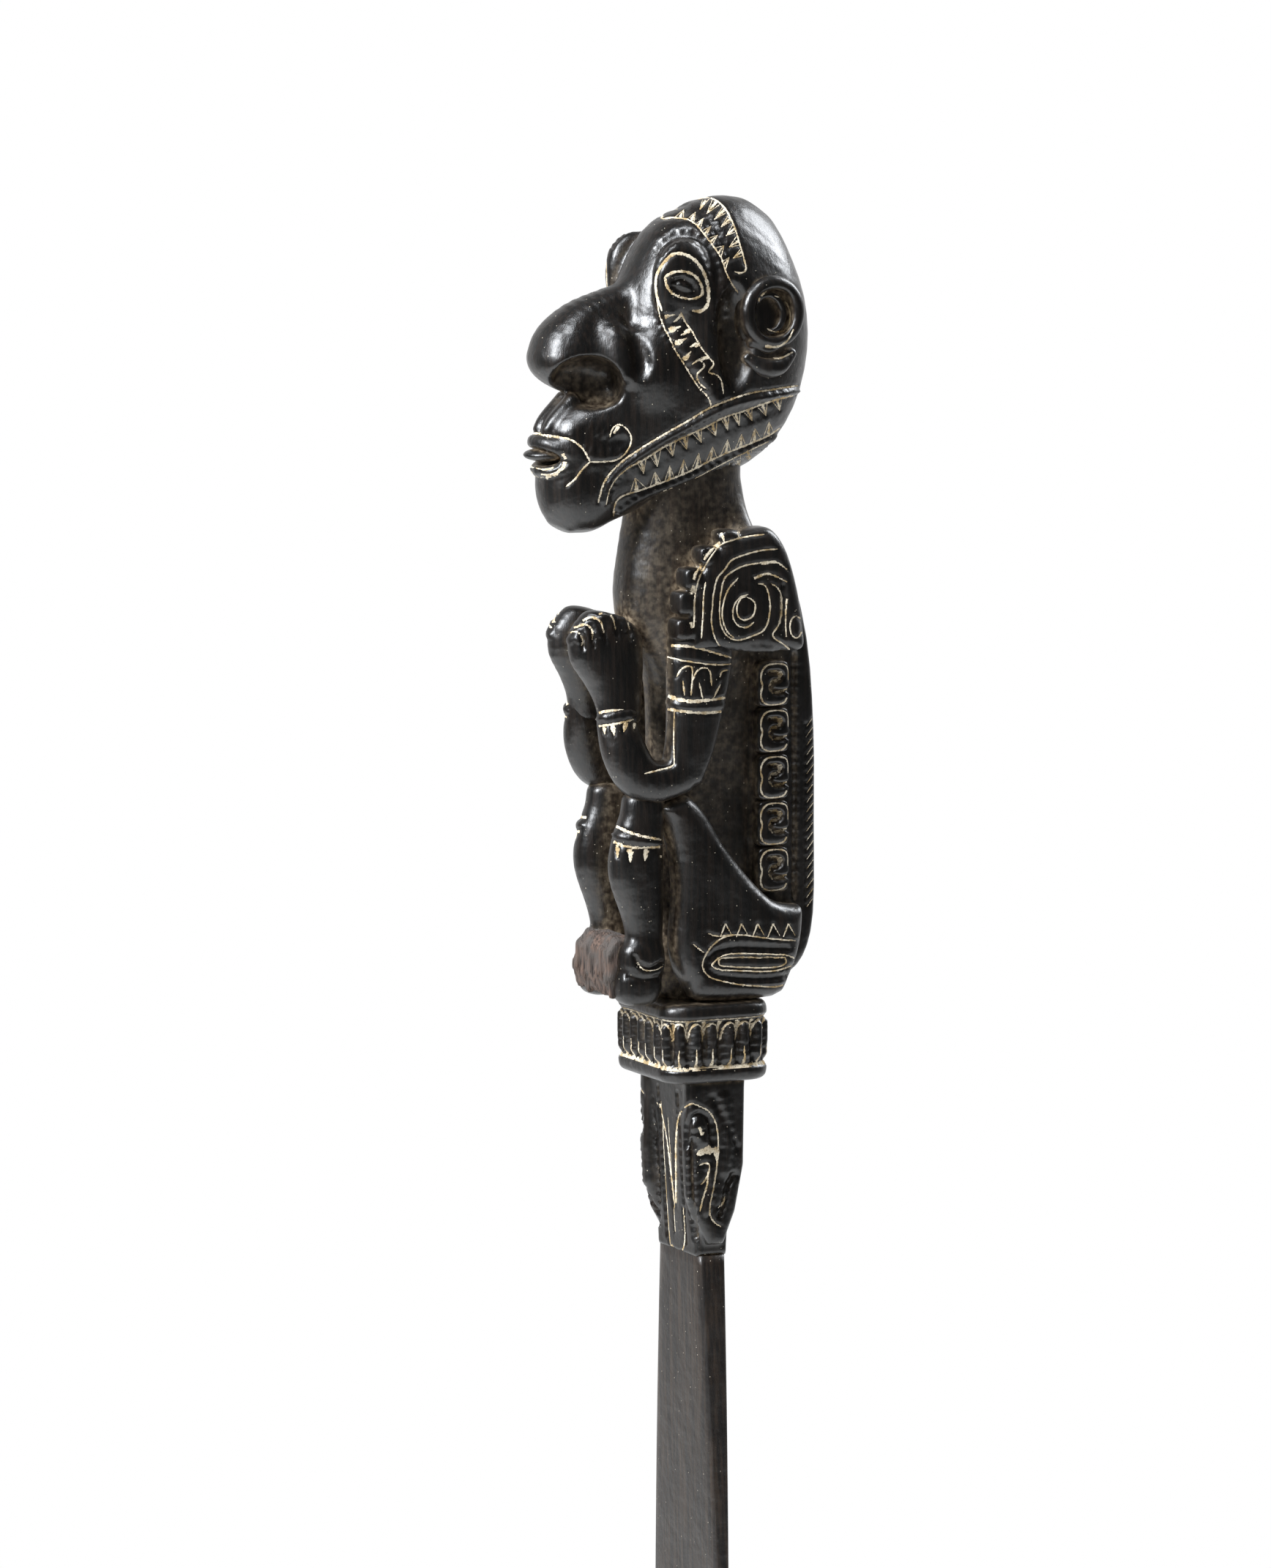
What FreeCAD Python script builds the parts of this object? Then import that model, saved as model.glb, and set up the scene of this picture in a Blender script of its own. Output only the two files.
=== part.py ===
"""Lime spatula with a squatting figure for a handle, carved from one billet of ebony.

The figure is cut from the same wood as the blade. Each carved form is a sub-part of its own, cut to meet
its neighbours face to face, and the lime rubbed into the lines makes sub-parts of another material.

Frame, in millimetres: +Z runs from the blade's tip to the crown of the head, -Y is the way the figure
faces, +X is the figure's left. The origin is the blade's tip, on the blade's centre line.
"""

import FreeCAD, Part
import math
import os

import Sketcher
from FreeCAD import Placement, Rotation, Vector

# Driving dimensions: name, millimetres or count, what it sets
SIZES = [
    ("blade_length", 200.0, "tip of the blade to the foot of the collar"),
    ("blade_neck_width", 14.3, "width of the blade where it leaves the collar"),
    ("blade_neck_thickness", 5.0, "thickness of the blade where it leaves the collar"),
    ("blade_wide_width", 24.0, "width of the blade where its round tip begins"),
    ("blade_tip_height", 40.0, "height of the round tip"),
    ("blade_side_radius", 1090.0, "radius of the blade's bowed sides"),
    ("blade_thickness", 2.2, "thickness of the blade below its taper"),
    ("blade_taper_height", 145.0, "height above the tip where the taper from the collar ends"),
    ("blade_edge_radius", 0.7, "rounding of the blade's long edges"),
    ("collar_height", 27.0, "foot of the collar to the underside of the drum"),
    ("stem_top_depth", 8.6, "depth of the collar's stem under the drum"),
    ("wing_thickness", 1.9, "thickness of a scroll wing"),
    ("wing_depth", 9.6, "depth of a scroll wing at its top"),
    ("wing_tip_depth", 2.6, "depth of a scroll wing at its foot"),
    ("wing_height", 25.0, "height of a scroll wing"),
    ("drum_height", 12.0, "height of the drum that the figure sits on"),
    ("drum_width", 21.6, "width of the drum"),
    ("drum_depth", 17.6, "depth of the drum"),
    ("drum_corner", 4.2, "radius of the drum's upright corners"),
    ("drum_foot_radius", 1.6, "rounding of the drum's lower edge"),
    ("rim_height", 2.3, "height of the plain rims over and under the tooth band"),
    ("notch_depth", 0.6, "depth of the lime-filled notches"),
    ("notch_width", 1.7, "width of a notch at its mouth"),
    ("notch_height", 2.9, "height of a notch"),
    ("notch_pitch", 2.55, "distance from notch to notch along the band"),
    ("foot_reach", 14.6, "broken front of the feet, forward of the blade's centre line"),
    ("foot_length", 7.2, "length of a foot as it is left"),
    ("foot_width", 5.4, "width of a foot"),
    ("foot_height", 8.6, "height of a foot"),
    ("foot_gap", 5.6, "gap between the feet that the web fills"),
    ("web_height", 7.4, "height of the broken web between the feet"),
    ("shin_spread", 6.2, "middle of a shin, out from the middle of the figure"),
    ("shin_setback", 11.2, "middle of a shin, forward of the blade's centre line"),
    ("shin_half_width", 3.1, "half width of the calf"),
    ("shin_half_depth", 4.1, "half depth of the calf"),
    ("knee_height", 30.3, "top of the knee over the drum"),
    ("knee_band_height", 24.8, "middle of the band under the knee, over the drum"),
    ("band_height", 1.9, "height of the raised bands at knee and wrist"),
    ("band_relief", 0.4, "how far a band stands out of the limb"),
    ("band_inset", 0.6, "how deep a band is let into the limb"),
    ("thigh_inner", 4.2, "inner face of the thigh, out from the middle of the figure"),
    ("thigh_outer", 10.4, "outer face of the thigh, out from the middle of the figure"),
    ("thigh_front", 6.3, "front edge of the thigh, forward of the centre line"),
    ("hip_back", 14.3, "back of the hip, behind the centre line"),
    ("hip_height", 13.6, "top of the hip over the drum"),
    ("thigh_edge_radius", 1.5, "rounding of the thigh's outer edge"),
    ("belly_half_width", 4.9, "half width of the belly and the flanks"),
    ("chest_half_width", 7.2, "half width of the chest under the shoulders"),
    ("torso_front", 7.4, "front of the torso, forward of the centre line"),
    ("torso_back", 11.0, "back of the torso, behind the centre line"),
    ("torso_height", 68.0, "top of the torso over the drum"),
    ("ridge_half_width", 5.4, "half width of the board down the back"),
    ("ridge_front", 13.0, "front of the back board, behind the centre line"),
    ("wall_half_width", 4.6, "half width of the wall that carries the scroll chains"),
    ("wall_front", 5.6, "front of that wall, behind the centre line"),
    ("ridge_back", 18.4, "back of the back board, behind the centre line"),
    ("ridge_bottom", 2.6, "foot of the back board over the drum"),
    ("ridge_top", 67.6, "top of the back board over the drum"),
    ("ridge_edge_radius", 1.3, "rounding of the back board's edges"),
    ("chain_front", 7.7, "front edge of the scroll chain, behind the centre line"),
    ("chain_back", 12.6, "back edge of the scroll chain, behind the centre line"),
    ("chain_bottom", 15.2, "foot of the scroll chain over the drum"),
    ("chain_relief", 6.3, "outer face of the chain, out from the middle of the figure"),
    ("link_height", 7.1, "height of one link of the chain"),
    ("link_gap", 0.35, "gap between the links"),
    ("link_slot", 1.0, "width of the hooked slot in a link"),
    ("link_count", 5.0, "links in the chain"),
    ("shoulder_inner", 5.4, "inner face of the shoulder, out from the middle"),
    ("shoulder_outer", 11.4, "outer face of the shoulder, out from the middle"),
    ("shoulder_front", 7.0, "front of the shoulder, forward of the centre line"),
    ("shoulder_back", 13.6, "back of the shoulder, behind the centre line"),
    ("shoulder_bottom", 52.8, "lower edge of the shoulder over the drum"),
    ("shoulder_top", 71.6, "top of the shoulder over the drum"),
    ("shoulder_edge_radius", 1.8, "rounding of the shoulder's outer edge"),
    ("spiral_half_depth", 3.9, "half depth of the outer oval on the shoulder"),
    ("spiral_half_height", 4.9, "half height of the outer oval on the shoulder"),
    ("lime_width", 0.45, "width of a lime-filled line"),
    ("lime_depth", 0.45, "depth of a lime-filled line"),
    ("arm_spread", 8.2, "middle of the upper arm, out from the middle of the figure"),
    ("arm_setback", 3.4, "middle of the upper arm, forward of the centre line"),
    ("arm_half_width", 3.0, "half width of the upper arm"),
    ("arm_half_depth", 4.7, "half depth of the upper arm"),
    ("elbow_height", 34.2, "middle of the elbow over the drum"),
    ("elbow_setback", 9.0, "middle of the elbow, forward of the centre line"),
    ("forearm_half_width", 3.0, "half width of the forearm"),
    ("forearm_half_depth", 3.7, "half depth of the forearm"),
    ("wrist_height", 43.8, "middle of the wrist band over the drum"),
    ("wrist_setback", 15.0, "middle of the wrist, forward of the centre line"),
    ("wrist_spread", 5.6, "middle of the wrist, out from the middle of the figure"),
    ("wrist_half_width", 2.4, "half width of the wrist"),
    ("wrist_half_depth", 2.9, "half depth of the wrist"),
    ("hand_top", 59.2, "top of the hand over the drum"),
    ("hand_spread", 3.3, "middle of the fist, out from the middle of the figure"),
    ("hand_setback", 16.2, "middle of the fist, forward of the centre line"),
    ("hand_half_width", 3.1, "half width of the fist"),
    ("hand_half_depth", 5.6, "half depth of the fist"),
    ("hand_gap", 0.2, "half the slit between the two fists"),
    ("neck_half_width", 6.6, "half width of the neck"),
    ("neck_half_depth", 9.2, "half depth of the neck"),
    ("neck_setback", 2.2, "middle of the neck, forward of the centre line"),
    ("chin_setback", 24.0, "chin, forward of the centre line"),
    ("chin_height", 73.0, "chin over the drum"),
    ("head_length", 57.0, "chin to the back of the crown, along the slope of the head"),
    ("head_half_width", 11.6, "half width of the head"),
    ("head_half_depth", 16.8, "half depth of the head, across its slope"),
    ("nose_along", 38.4, "root of the nose, up the slope of the head from the chin"),
    ("nose_across", 8.8, "root of the nose, forward across the slope of the head"),
    ("nose_length", 22.6, "root of the nose to its tip"),
    ("nose_half_depth", 7.7, "half depth of the nose, from its bridge to its underside"),
    ("nose_half_width", 8.0, "half width across the nostrils"),
    ("nostril_radius", 2.4, "radius of a nostril"),
    ("lip_half_width", 5.2, "half width of the mouth"),
    ("lip_half_height", 3.3, "half height of the two lips together"),
    ("lip_along", 5.6, "front of the lips, up the slope of the head from the chin"),
    ("lip_across", 7.5, "front of the lips, forward across the slope of the head"),
    ("thigh_corner_radius", 2.2, "rounding of the corners in the thigh's side outline"),
    ("shoulder_corner_radius", 2.6, "rounding of the corners in the shoulder's side outline"),
    ("ear_outer", 13.2, "outer face of the ear, out from the middle of the figure"),
    ("ear_radius", 4.9, "radius of the ear's scroll"),
    ("ear_hollow", 2.9, "radius of the hollow in the ear's scroll"),
    ("ear_hollow_depth", 1.4, "depth of the hollow in the ear's scroll"),
    ("ear_along", 43.9, "middle of the ear's scroll, up the slope of the head from the chin"),
    ("ear_across", 6.2, "middle of the ear's scroll, back across the slope of the head"),
    ("lobe_radius", 3.4, "radius of the lobe under the scroll"),
    ("eye_half_depth", 2.9, "half depth of the eye disc"),
    ("eye_half_height", 3.7, "half height of the eye disc"),
    ("eye_along", 39.1, "middle of the eye, up the slope of the head from the chin"),
    ("eye_across", 6.8, "middle of the eye, forward across the slope of the head"),
    ("eye_outer", 11.2, "outer face of the eye disc, out from the middle"),
]

# The slope of the head: its long axis rises 4 for every 3 that it runs back
HEAD_AXIS = Vector(0, 0.6, 0.8)
HEAD_ACROSS = Vector(0, 0.8, -0.6)

doc = FreeCAD.newDocument("lime_spatula")
sheet = doc.addObject("Spreadsheet::Sheet", "Sizes")
for row, (name, value, note) in enumerate(SIZES, start=1):
    sheet.set(f"A{row}", name)
    sheet.set(f"B{row}", str(value))
    sheet.setAlias(f"B{row}", name)
    sheet.set(f"C{row}", note)
doc.recompute()

finished = []


def mm(name):
    """The number in the sheet's cell of that name."""
    return float(getattr(sheet, name))


def bind(thing, prop, formula):
    """Binds a property to a formula of cell names, such as '<<Sizes>>.drum_width / 2'."""
    thing.setExpression(prop, formula)


def cell(name):
    return f"<<Sizes>>.{name}"


# Heights that follow from the driving dimensions
DRUM_BOTTOM = mm("blade_length") + mm("collar_height")
DRUM_TOP = DRUM_BOTTOM + mm("drum_height")
BOTTOM_FORMULA = f"{cell('blade_length')} + {cell('collar_height')}"
TOP_FORMULA = f"{BOTTOM_FORMULA} + {cell('drum_height')}"


# Helpers for bodies, sketches and sections
def new_body(name):
    return doc.addObject("PartDesign::Body", name)


def plane(body, role):
    return next(f for f in body.Origin.OriginFeatures if f.Role == role)


def new_sketch(body, name, role, offset="0 mm"):
    sketch = body.newObject("Sketcher::SketchObject", name)
    sketch.AttachmentSupport = [(plane(body, role), "")]
    sketch.MapMode = "FlatFace"
    bind(sketch, "AttachmentOffset.Base.z", offset)
    return sketch


def held(sketch, kind, *where, formula=None, value=1.0):
    """Adds a constraint, and binds it to a formula of cells if there is one."""
    if formula is None:
        return sketch.addConstraint(Sketcher.Constraint(kind, *where))
    index = sketch.addConstraint(Sketcher.Constraint(kind, *where, value))
    sketch.setExpression(f"Constraints[{index}]", formula)
    return index


def closed_lines(sketch, points):
    """Draws a closed loop of lines and joins their ends. Returns the first line's number."""
    first = sketch.GeometryCount
    count = len(points)
    for i, (x, y) in enumerate(points):
        x2, y2 = points[(i + 1) % count]
        sketch.addGeometry(Part.LineSegment(Vector(x, y, 0), Vector(x2, y2, 0)), False)
    for i in range(count):
        held(sketch, "Coincident", first + i, 2, first + (i + 1) % count, 1)
    return first


def place_corner(sketch, line, across, up, x, y):
    """Fixes the start of a line by its distances from the sketch's origin."""
    held(sketch, "DistanceX", -1, 1, line, 1, formula=across, value=x)
    held(sketch, "DistanceY", -1, 1, line, 1, formula=up, value=y)


def fixed_loop(sketch, corners):
    """A closed loop of lines whose corners are formulas: (across, its value, up, its value)."""
    first = closed_lines(sketch, [(x, y) for _, x, _, y in corners])
    for i, (across, x, up, y) in enumerate(corners):
        place_corner(sketch, first + i, across, up, x, y)


def centred_rectangle(sketch, width, width_value, depth, depth_value):
    half_w, half_d = width_value / 2, depth_value / 2
    first = closed_lines(
        sketch, [(-half_w, -half_d), (half_w, -half_d), (half_w, half_d), (-half_w, half_d)]
    )
    held(sketch, "Horizontal", first)
    held(sketch, "Vertical", first + 1)
    held(sketch, "Horizontal", first + 2)
    held(sketch, "Vertical", first + 3)
    held(sketch, "Symmetric", first, 1, first + 1, 2, -1, 1)
    held(sketch, "DistanceX", first, 1, first, 2, formula=width, value=width_value)
    held(sketch, "DistanceY", first + 1, 1, first + 1, 2, formula=depth, value=depth_value)


def pad(body, name, sketch, length, both_ways=False):
    feature = body.newObject("PartDesign::Pad", name)
    feature.Profile = sketch
    bind(feature, "Length", length)
    feature.Midplane = both_ways
    sketch.Visibility = False
    return feature


def edges_where(shape, test):
    return [f"Edge{i + 1}" for i, edge in enumerate(shape.Edges) if test(edge)]


def runs_along(edge, axis, length=0.0):
    """True for a straight edge along an axis that is longer than a length."""
    if not isinstance(edge.Curve, (Part.Line, Part.LineSegment)) or edge.Length <= length:
        return False
    ends = edge.Vertexes
    way = (ends[-1].Point - ends[0].Point).normalize()
    return abs(way.dot(axis)) > 0.999


def round_edges(body, name, base, names, radius):
    doc.recompute()
    feature = body.newObject("PartDesign::Fillet", name)
    feature.Base = (base, names)
    bind(feature, "Radius", radius)
    return feature


def oval(centre, across, half_across, along, half_along, power=2.0, count=10):
    """A closed smooth wire: an ellipse at power 2, squarer above it."""
    points = []
    for i in range(count):
        angle = 2 * math.pi * i / count
        c, s = math.cos(angle), math.sin(angle)
        u = math.copysign(abs(c) ** (2 / power), c) * half_across
        v = math.copysign(abs(s) ** (2 / power), s) * half_along
        points.append(centre + across * u + along * v)
    curve = Part.BSplineCurve()
    curve.interpolate(points, PeriodicFlag=True)
    return Part.Wire([curve.toShape()])


def loft(sections):
    """A closed solid through ovals: (centre, across, half across, along, half along, power)."""
    return Part.makeLoft([oval(*s) for s in sections], True, False)


def form(name, shape):
    """A raw form with no parametric feature of its own, such as a sculpted limb."""
    feature = doc.addObject("Part::Feature", name)
    feature.Shape = shape
    return feature


def joined(name, pieces):
    feature = doc.addObject("Part::MultiFuse", name)
    feature.Shapes = pieces
    return feature


def without(name, base, *tools):
    """Takes one or more forms away from a form, one after another."""
    for step, tool in enumerate(tools, start=1):
        last = step == len(tools)
        feature = doc.addObject("Part::Cut", name if last else f"{name}_{step}")
        feature.Base = base
        feature.Tool = tool
        feature.Refine = False
        base = feature
    return base


def shared(name, base, tool):
    feature = doc.addObject("Part::Common", name)
    feature.Base = base
    feature.Tool = tool
    return feature


def mirrored(name, source):
    feature = doc.addObject("Part::Mirroring", name)
    feature.Source = source
    feature.Normal = Vector(1, 0, 0)
    return feature


def finish(label, thing):
    """Names a finished sub-part: its Label is its file's name."""
    thing.Label = label
    finished.append(thing)
    return thing


def finish_pair(name, left):
    """A left sub-part and its mirror image."""
    finish(f"left_{name}", left)
    finish(f"right_{name}", mirrored(f"right_{name}", left))


# Axis directions used by the sections
X, Y, Z = Vector(1, 0, 0), Vector(0, 1, 0), Vector(0, 0, 1)


def make_blade():
    """A flat-backed blade: its outline is padded, its front is planed thin, its edges are eased."""
    body = new_body("blade_body")
    outline = new_sketch(body, "blade_outline", "XZ_Plane")
    neck, wide = mm("blade_neck_width") / 2, mm("blade_wide_width") / 2
    length, swell = mm("blade_length"), mm("blade_tip_height")
    radius = mm("blade_side_radius")
    outline.addGeometry(Part.LineSegment(Vector(-neck, length, 0), Vector(neck, length, 0)), False)
    for side in (1, -1):
        top_end, low_end = Vector(side * neck, length, 0), Vector(side * wide, swell, 0)
        start, end = (low_end, top_end) if side > 0 else (top_end, low_end)
        chord = end - start
        bow = radius - math.sqrt(radius**2 - (chord.Length / 2) ** 2)
        middle = (start + end) / 2 + Vector(chord.y, -chord.x, 0).normalize() * bow
        outline.addGeometry(Part.Arc(start, middle, end), False)
    oval_tip = Part.Ellipse(Vector(0, 0, 0), Vector(wide, swell, 0), Vector(0, swell, 0))
    start, end = oval_tip.parameter(Vector(-wide, swell, 0)), oval_tip.parameter(Vector(wide, swell, 0))
    outline.addGeometry(Part.ArcOfEllipse(oval_tip, start, end), False)
    outline.exposeInternalGeometry(3)

    def end_near(index, point):
        arc = outline.Geometry[index]
        return 1 if (arc.StartPoint - point).Length < 0.01 else 2

    right_top, left_top = Vector(neck, length, 0), Vector(-neck, length, 0)
    right_low, left_low = Vector(wide, swell, 0), Vector(-wide, swell, 0)
    held(outline, "Coincident", 0, 2, 1, end_near(1, right_top))
    held(outline, "Coincident", 0, 1, 2, end_near(2, left_top))
    held(outline, "Coincident", 1, end_near(1, right_low), 3, end_near(3, right_low))
    held(outline, "Coincident", 2, end_near(2, left_low), 3, end_near(3, left_low))
    place_corner(outline, 0, f"-{cell('blade_neck_width')} / 2", cell("blade_length"), -neck, length)
    held(outline, "DistanceX", -1, 1, 0, 2, formula=f"{cell('blade_neck_width')} / 2", value=neck)
    held(outline, "Horizontal", 0)
    tip = cell("blade_tip_height")
    low_right, low_left = end_near(3, right_low), end_near(3, left_low)
    held(outline, "DistanceX", -1, 1, 3, low_right, formula=f"{cell('blade_wide_width')} / 2", value=wide)
    held(outline, "DistanceY", -1, 1, 3, low_right, formula=tip, value=swell)
    held(outline, "DistanceY", -1, 1, 3, low_left, formula=tip, value=swell)
    held(outline, "PointOnObject", 3, 3, -2)
    held(outline, "DistanceY", -1, 1, 3, 3, formula=tip, value=swell)
    major = outline.Geometry[4]
    held(outline, "Coincident", 4, 1 if major.StartPoint.Length < 0.01 else 2, -1, 1)
    held(outline, "Radius", 1, formula=cell("blade_side_radius"), value=radius)
    held(outline, "Radius", 2, formula=cell("blade_side_radius"), value=radius)
    slab = pad(body, "blade_slab", outline, cell("blade_neck_thickness"), both_ways=True)

    thick, thin = mm("blade_neck_thickness") / 2, mm("blade_thickness") / 2
    bend = mm("blade_taper_height")
    half, slim = f"{cell('blade_neck_thickness')} / 2", f"{cell('blade_thickness')} / 2"
    planed = new_sketch(body, "face_taper", "YZ_Plane")
    for sign, side in (("", 1), ("-", -1)):
        fixed_loop(
            planed,
            [
                (f"{sign}{half}", side * thick, cell("blade_length"), length),
                (f"{sign}{slim}", side * thin, cell("blade_taper_height"), bend),
                (f"{sign}{slim}", side * thin, "-1", -1),
                (f"{sign}({half} + 1)", side * (thick + 1), "-1", -1),
                (f"{sign}({half} + 1)", side * (thick + 1), cell("blade_length"), length),
            ],
        )
    taper = body.newObject("PartDesign::Pocket", "face_planing")
    taper.Profile = planed
    taper.Type = "ThroughAll"
    taper.Midplane = True
    planed.Visibility = False
    doc.recompute()
    long_edges = edges_where(taper.Shape, lambda e: e.Length > (length - bend) * 0.7)
    body.Tip = round_edges(body, "eased_edges", taper, long_edges, cell("blade_edge_radius"))
    return finish("blade", body)


def make_collar():
    """The stem thickens from the blade up to the drum; a scroll wing stands on each side of it."""
    body = new_body("stem_body")
    side = new_sketch(body, "stem_outline", "YZ_Plane")
    neck, top = mm("blade_neck_thickness") / 2, mm("stem_top_depth") / 2
    neck_formula, top_formula = f"{cell('blade_neck_thickness')} / 2", f"{cell('stem_top_depth')} / 2"
    length = mm("blade_length")
    fixed_loop(
        side,
        [
            (f"-{neck_formula}", -neck, cell("blade_length"), length),
            (neck_formula, neck, cell("blade_length"), length),
            (top_formula, top, BOTTOM_FORMULA, DRUM_BOTTOM),
            (f"-{top_formula}", -top, BOTTOM_FORMULA, DRUM_BOTTOM),
        ],
    )
    body.Tip = pad(body, "stem_block", side, cell("blade_neck_width"), both_ways=True)
    finish("collar_stem", body)

    wing = new_body("left_wing_body")
    foot, depth = DRUM_BOTTOM - mm("wing_height"), mm("wing_depth") / 2
    tip = mm("wing_tip_depth") / 2
    outline = new_sketch(wing, "wing_outline", "YZ_Plane", f"{cell('blade_neck_width')} / 2")
    foot_formula = f"{BOTTOM_FORMULA} - {cell('wing_height')}"
    belly_formula = f"{BOTTOM_FORMULA} - {cell('wing_height')} * 0.7"
    belly = DRUM_BOTTOM - mm("wing_height") * 0.7
    fixed_loop(
        outline,
        [
            (f"{cell('wing_depth')} / 2", depth, BOTTOM_FORMULA, DRUM_BOTTOM),
            (f"-{cell('wing_depth')} / 2", -depth, BOTTOM_FORMULA, DRUM_BOTTOM),
            (f"-{cell('wing_depth')} / 2", -depth, belly_formula, belly),
            (f"-{cell('wing_tip_depth')} / 2", -tip, foot_formula, foot),
            (f"{cell('wing_tip_depth')} / 2", tip, foot_formula, foot),
        ],
    )
    plate = pad(wing, "wing_plate", outline, cell("wing_thickness"))
    doc.recompute()
    outer_x = max(v.X for v in plate.Shape.Vertexes)
    outer = edges_where(plate.Shape, lambda e: min(v.X for v in e.Vertexes) > outer_x - 0.01)
    wing.Tip = round_edges(wing, "wing_edges", plate, outer, f"{cell('wing_thickness')} * 0.35")
    finish_pair("collar_wing", wing)


def band_path():
    """Places round the drum: (point, outward direction) at each notch."""
    corner = mm("drum_corner")
    half_w, half_d = mm("drum_width") / 2, mm("drum_depth") / 2
    straight_w, straight_d = 2 * (half_w - corner), 2 * (half_d - corner)
    quarter = corner * math.pi / 2
    around = 2 * (straight_w + straight_d) + 4 * quarter
    count = max(8, round(around / mm("notch_pitch")))
    places = []
    for i in range(count):
        s = around * (i + 0.5) / count
        turn = 0.0
        centre = Vector(half_w - corner, -(half_d - corner), 0)
        for run, way in ((straight_d, Y), (straight_w, -X), (straight_d, -Y), (straight_w, X)):
            out = Vector(math.cos(turn), math.sin(turn), 0)
            if s < run:
                places.append((centre + way * s + out * corner, out))
                break
            s -= run
            centre = centre + way * run
            if s < quarter:
                bend = turn + s / corner
                out = Vector(math.cos(bend), math.sin(bend), 0)
                places.append((centre + out * corner, out))
                break
            s -= quarter
            turn += math.pi / 2
    return places


def notch(point, out, base_height, tip_height):
    """A triangular notch in the drum's side, from its base up or down to its tip."""
    along = Z.cross(out)
    half = mm("notch_width") / 2
    inner, outer = -mm("notch_depth"), 0.0
    corners = [(-half, base_height), (half, base_height), (0, tip_height)]
    faces = []
    for reach in (inner, outer + 0.5):
        ring = [point + out * reach + along * u + Z * h for u, h in corners]
        faces.append(Part.makePolygon(ring + ring[:1]))
    return Part.makeLoft(faces, True, True)


def make_drum():
    """The drum is a rounded block; two rows of notches round it are filled with lime."""
    body = new_body("drum_body")
    plan = new_sketch(body, "drum_plan", "XY_Plane", BOTTOM_FORMULA)
    centred_rectangle(
        plan, cell("drum_width"), mm("drum_width"), cell("drum_depth"), mm("drum_depth")
    )
    block = pad(body, "drum_block", plan, cell("drum_height"))
    doc.recompute()
    upright = edges_where(block.Shape, lambda e: runs_along(e, Z))
    corners = round_edges(body, "drum_corners", block, upright, cell("drum_corner"))
    doc.recompute()
    under = edges_where(
        corners.Shape, lambda e: max(v.Z for v in e.Vertexes) < DRUM_BOTTOM + 0.01
    )
    foot = round_edges(body, "drum_foot", corners, under, cell("drum_foot_radius"))
    body.Tip = foot

    low = DRUM_BOTTOM + mm("rim_height")
    high = DRUM_TOP - mm("rim_height")
    cutters = []
    for point, out in band_path():
        cutters.append(notch(point, out, low, low + mm("notch_height")))
        cutters.append(notch(point, out, high, high - mm("notch_height")))
    cutters = form("notch_cutters", Part.makeCompound(cutters))
    lime = shared("notch_lime", body, cutters)
    finish("drum", without("notched_drum", body, cutters))
    finish("drum_lime", lime)
    return body


def at(setback, height, spread=0.0):
    """A point of the figure: out to its left, forward of the centre line, over the drum."""
    return Vector(spread, -setback, DRUM_TOP + height)


def make_torso():
    """Belly, flanks and chest as one loft that stands on the drum."""
    front, back = mm("torso_front"), mm("torso_back")
    middle, half = (front - back) / 2, (front + back) / 2
    belly, chest, top = mm("belly_half_width"), mm("chest_half_width"), mm("torso_height")
    shape = [
        # share of the height, half width, share of the depth
        (0.0, belly, 0.80),
        (0.2, belly, 0.97),
        (0.45, belly, 1.0),
        (0.72, belly * 1.06, 1.0),
        (0.84, chest, 0.98),
        (0.94, chest * 1.08, 0.9),
        (1.0, chest, 0.74),
    ]
    sections = [(at(middle, top * h), X, wide, Y, half * deep, 2.6) for h, wide, deep in shape]
    return form("torso_form", loft(sections))


def make_neck():
    """The neck stands on the flat top of the torso and runs up into the head."""
    foot = mm("torso_height")
    reach = mm("chin_height") + mm("head_half_depth") - foot
    sections = []
    for share, wide, deep in ((0.0, 1.12, 1.02), (0.25, 1.0, 0.98), (1.0, 1.0, 1.0)):
        centre = at(mm("neck_setback"), foot + reach * share)
        sections.append(
            (centre, X, mm("neck_half_width") * wide, Y, mm("neck_half_depth") * deep, 2.2)
        )
    return form("neck_form", loft(sections))


def head_point(along, across, spread=0.0):
    """A point by the head's own slope: millimetres up from the chin and back from the face's line."""
    chin = at(mm("chin_setback"), mm("chin_height"))
    return chin + HEAD_AXIS * along + HEAD_ACROSS * across + X * spread


HEAD_SHAPE = [
    # share of the length, middle across the slope, share of the depth, share of the width
    (0.012, 2.4, 0.08, 0.18),
    (0.045, 1.8, 0.26, 0.41),
    (0.11, 1.4, 0.43, 0.54),
    (0.21, 2.0, 0.62, 0.62),
    (0.35, 5.2, 0.78, 0.77),
    (0.49, 6.9, 0.91, 0.93),
    (0.63, 5.5, 1.0, 1.0),
    (0.77, 3.4, 0.94, 0.96),
    (0.88, 2.0, 0.72, 0.78),
    (0.96, 0.6, 0.42, 0.47),
    (1.0, 0.2, 0.18, 0.2),
]


def make_head():
    sections = []
    for share, middle, deep, wide in HEAD_SHAPE:
        centre = head_point(mm("head_length") * share, middle)
        half_wide = mm("head_half_width") * wide
        sections.append((centre, X, half_wide, HEAD_ACROSS, mm("head_half_depth") * deep, 2.2))
    return form("head_form", loft(sections))


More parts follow.
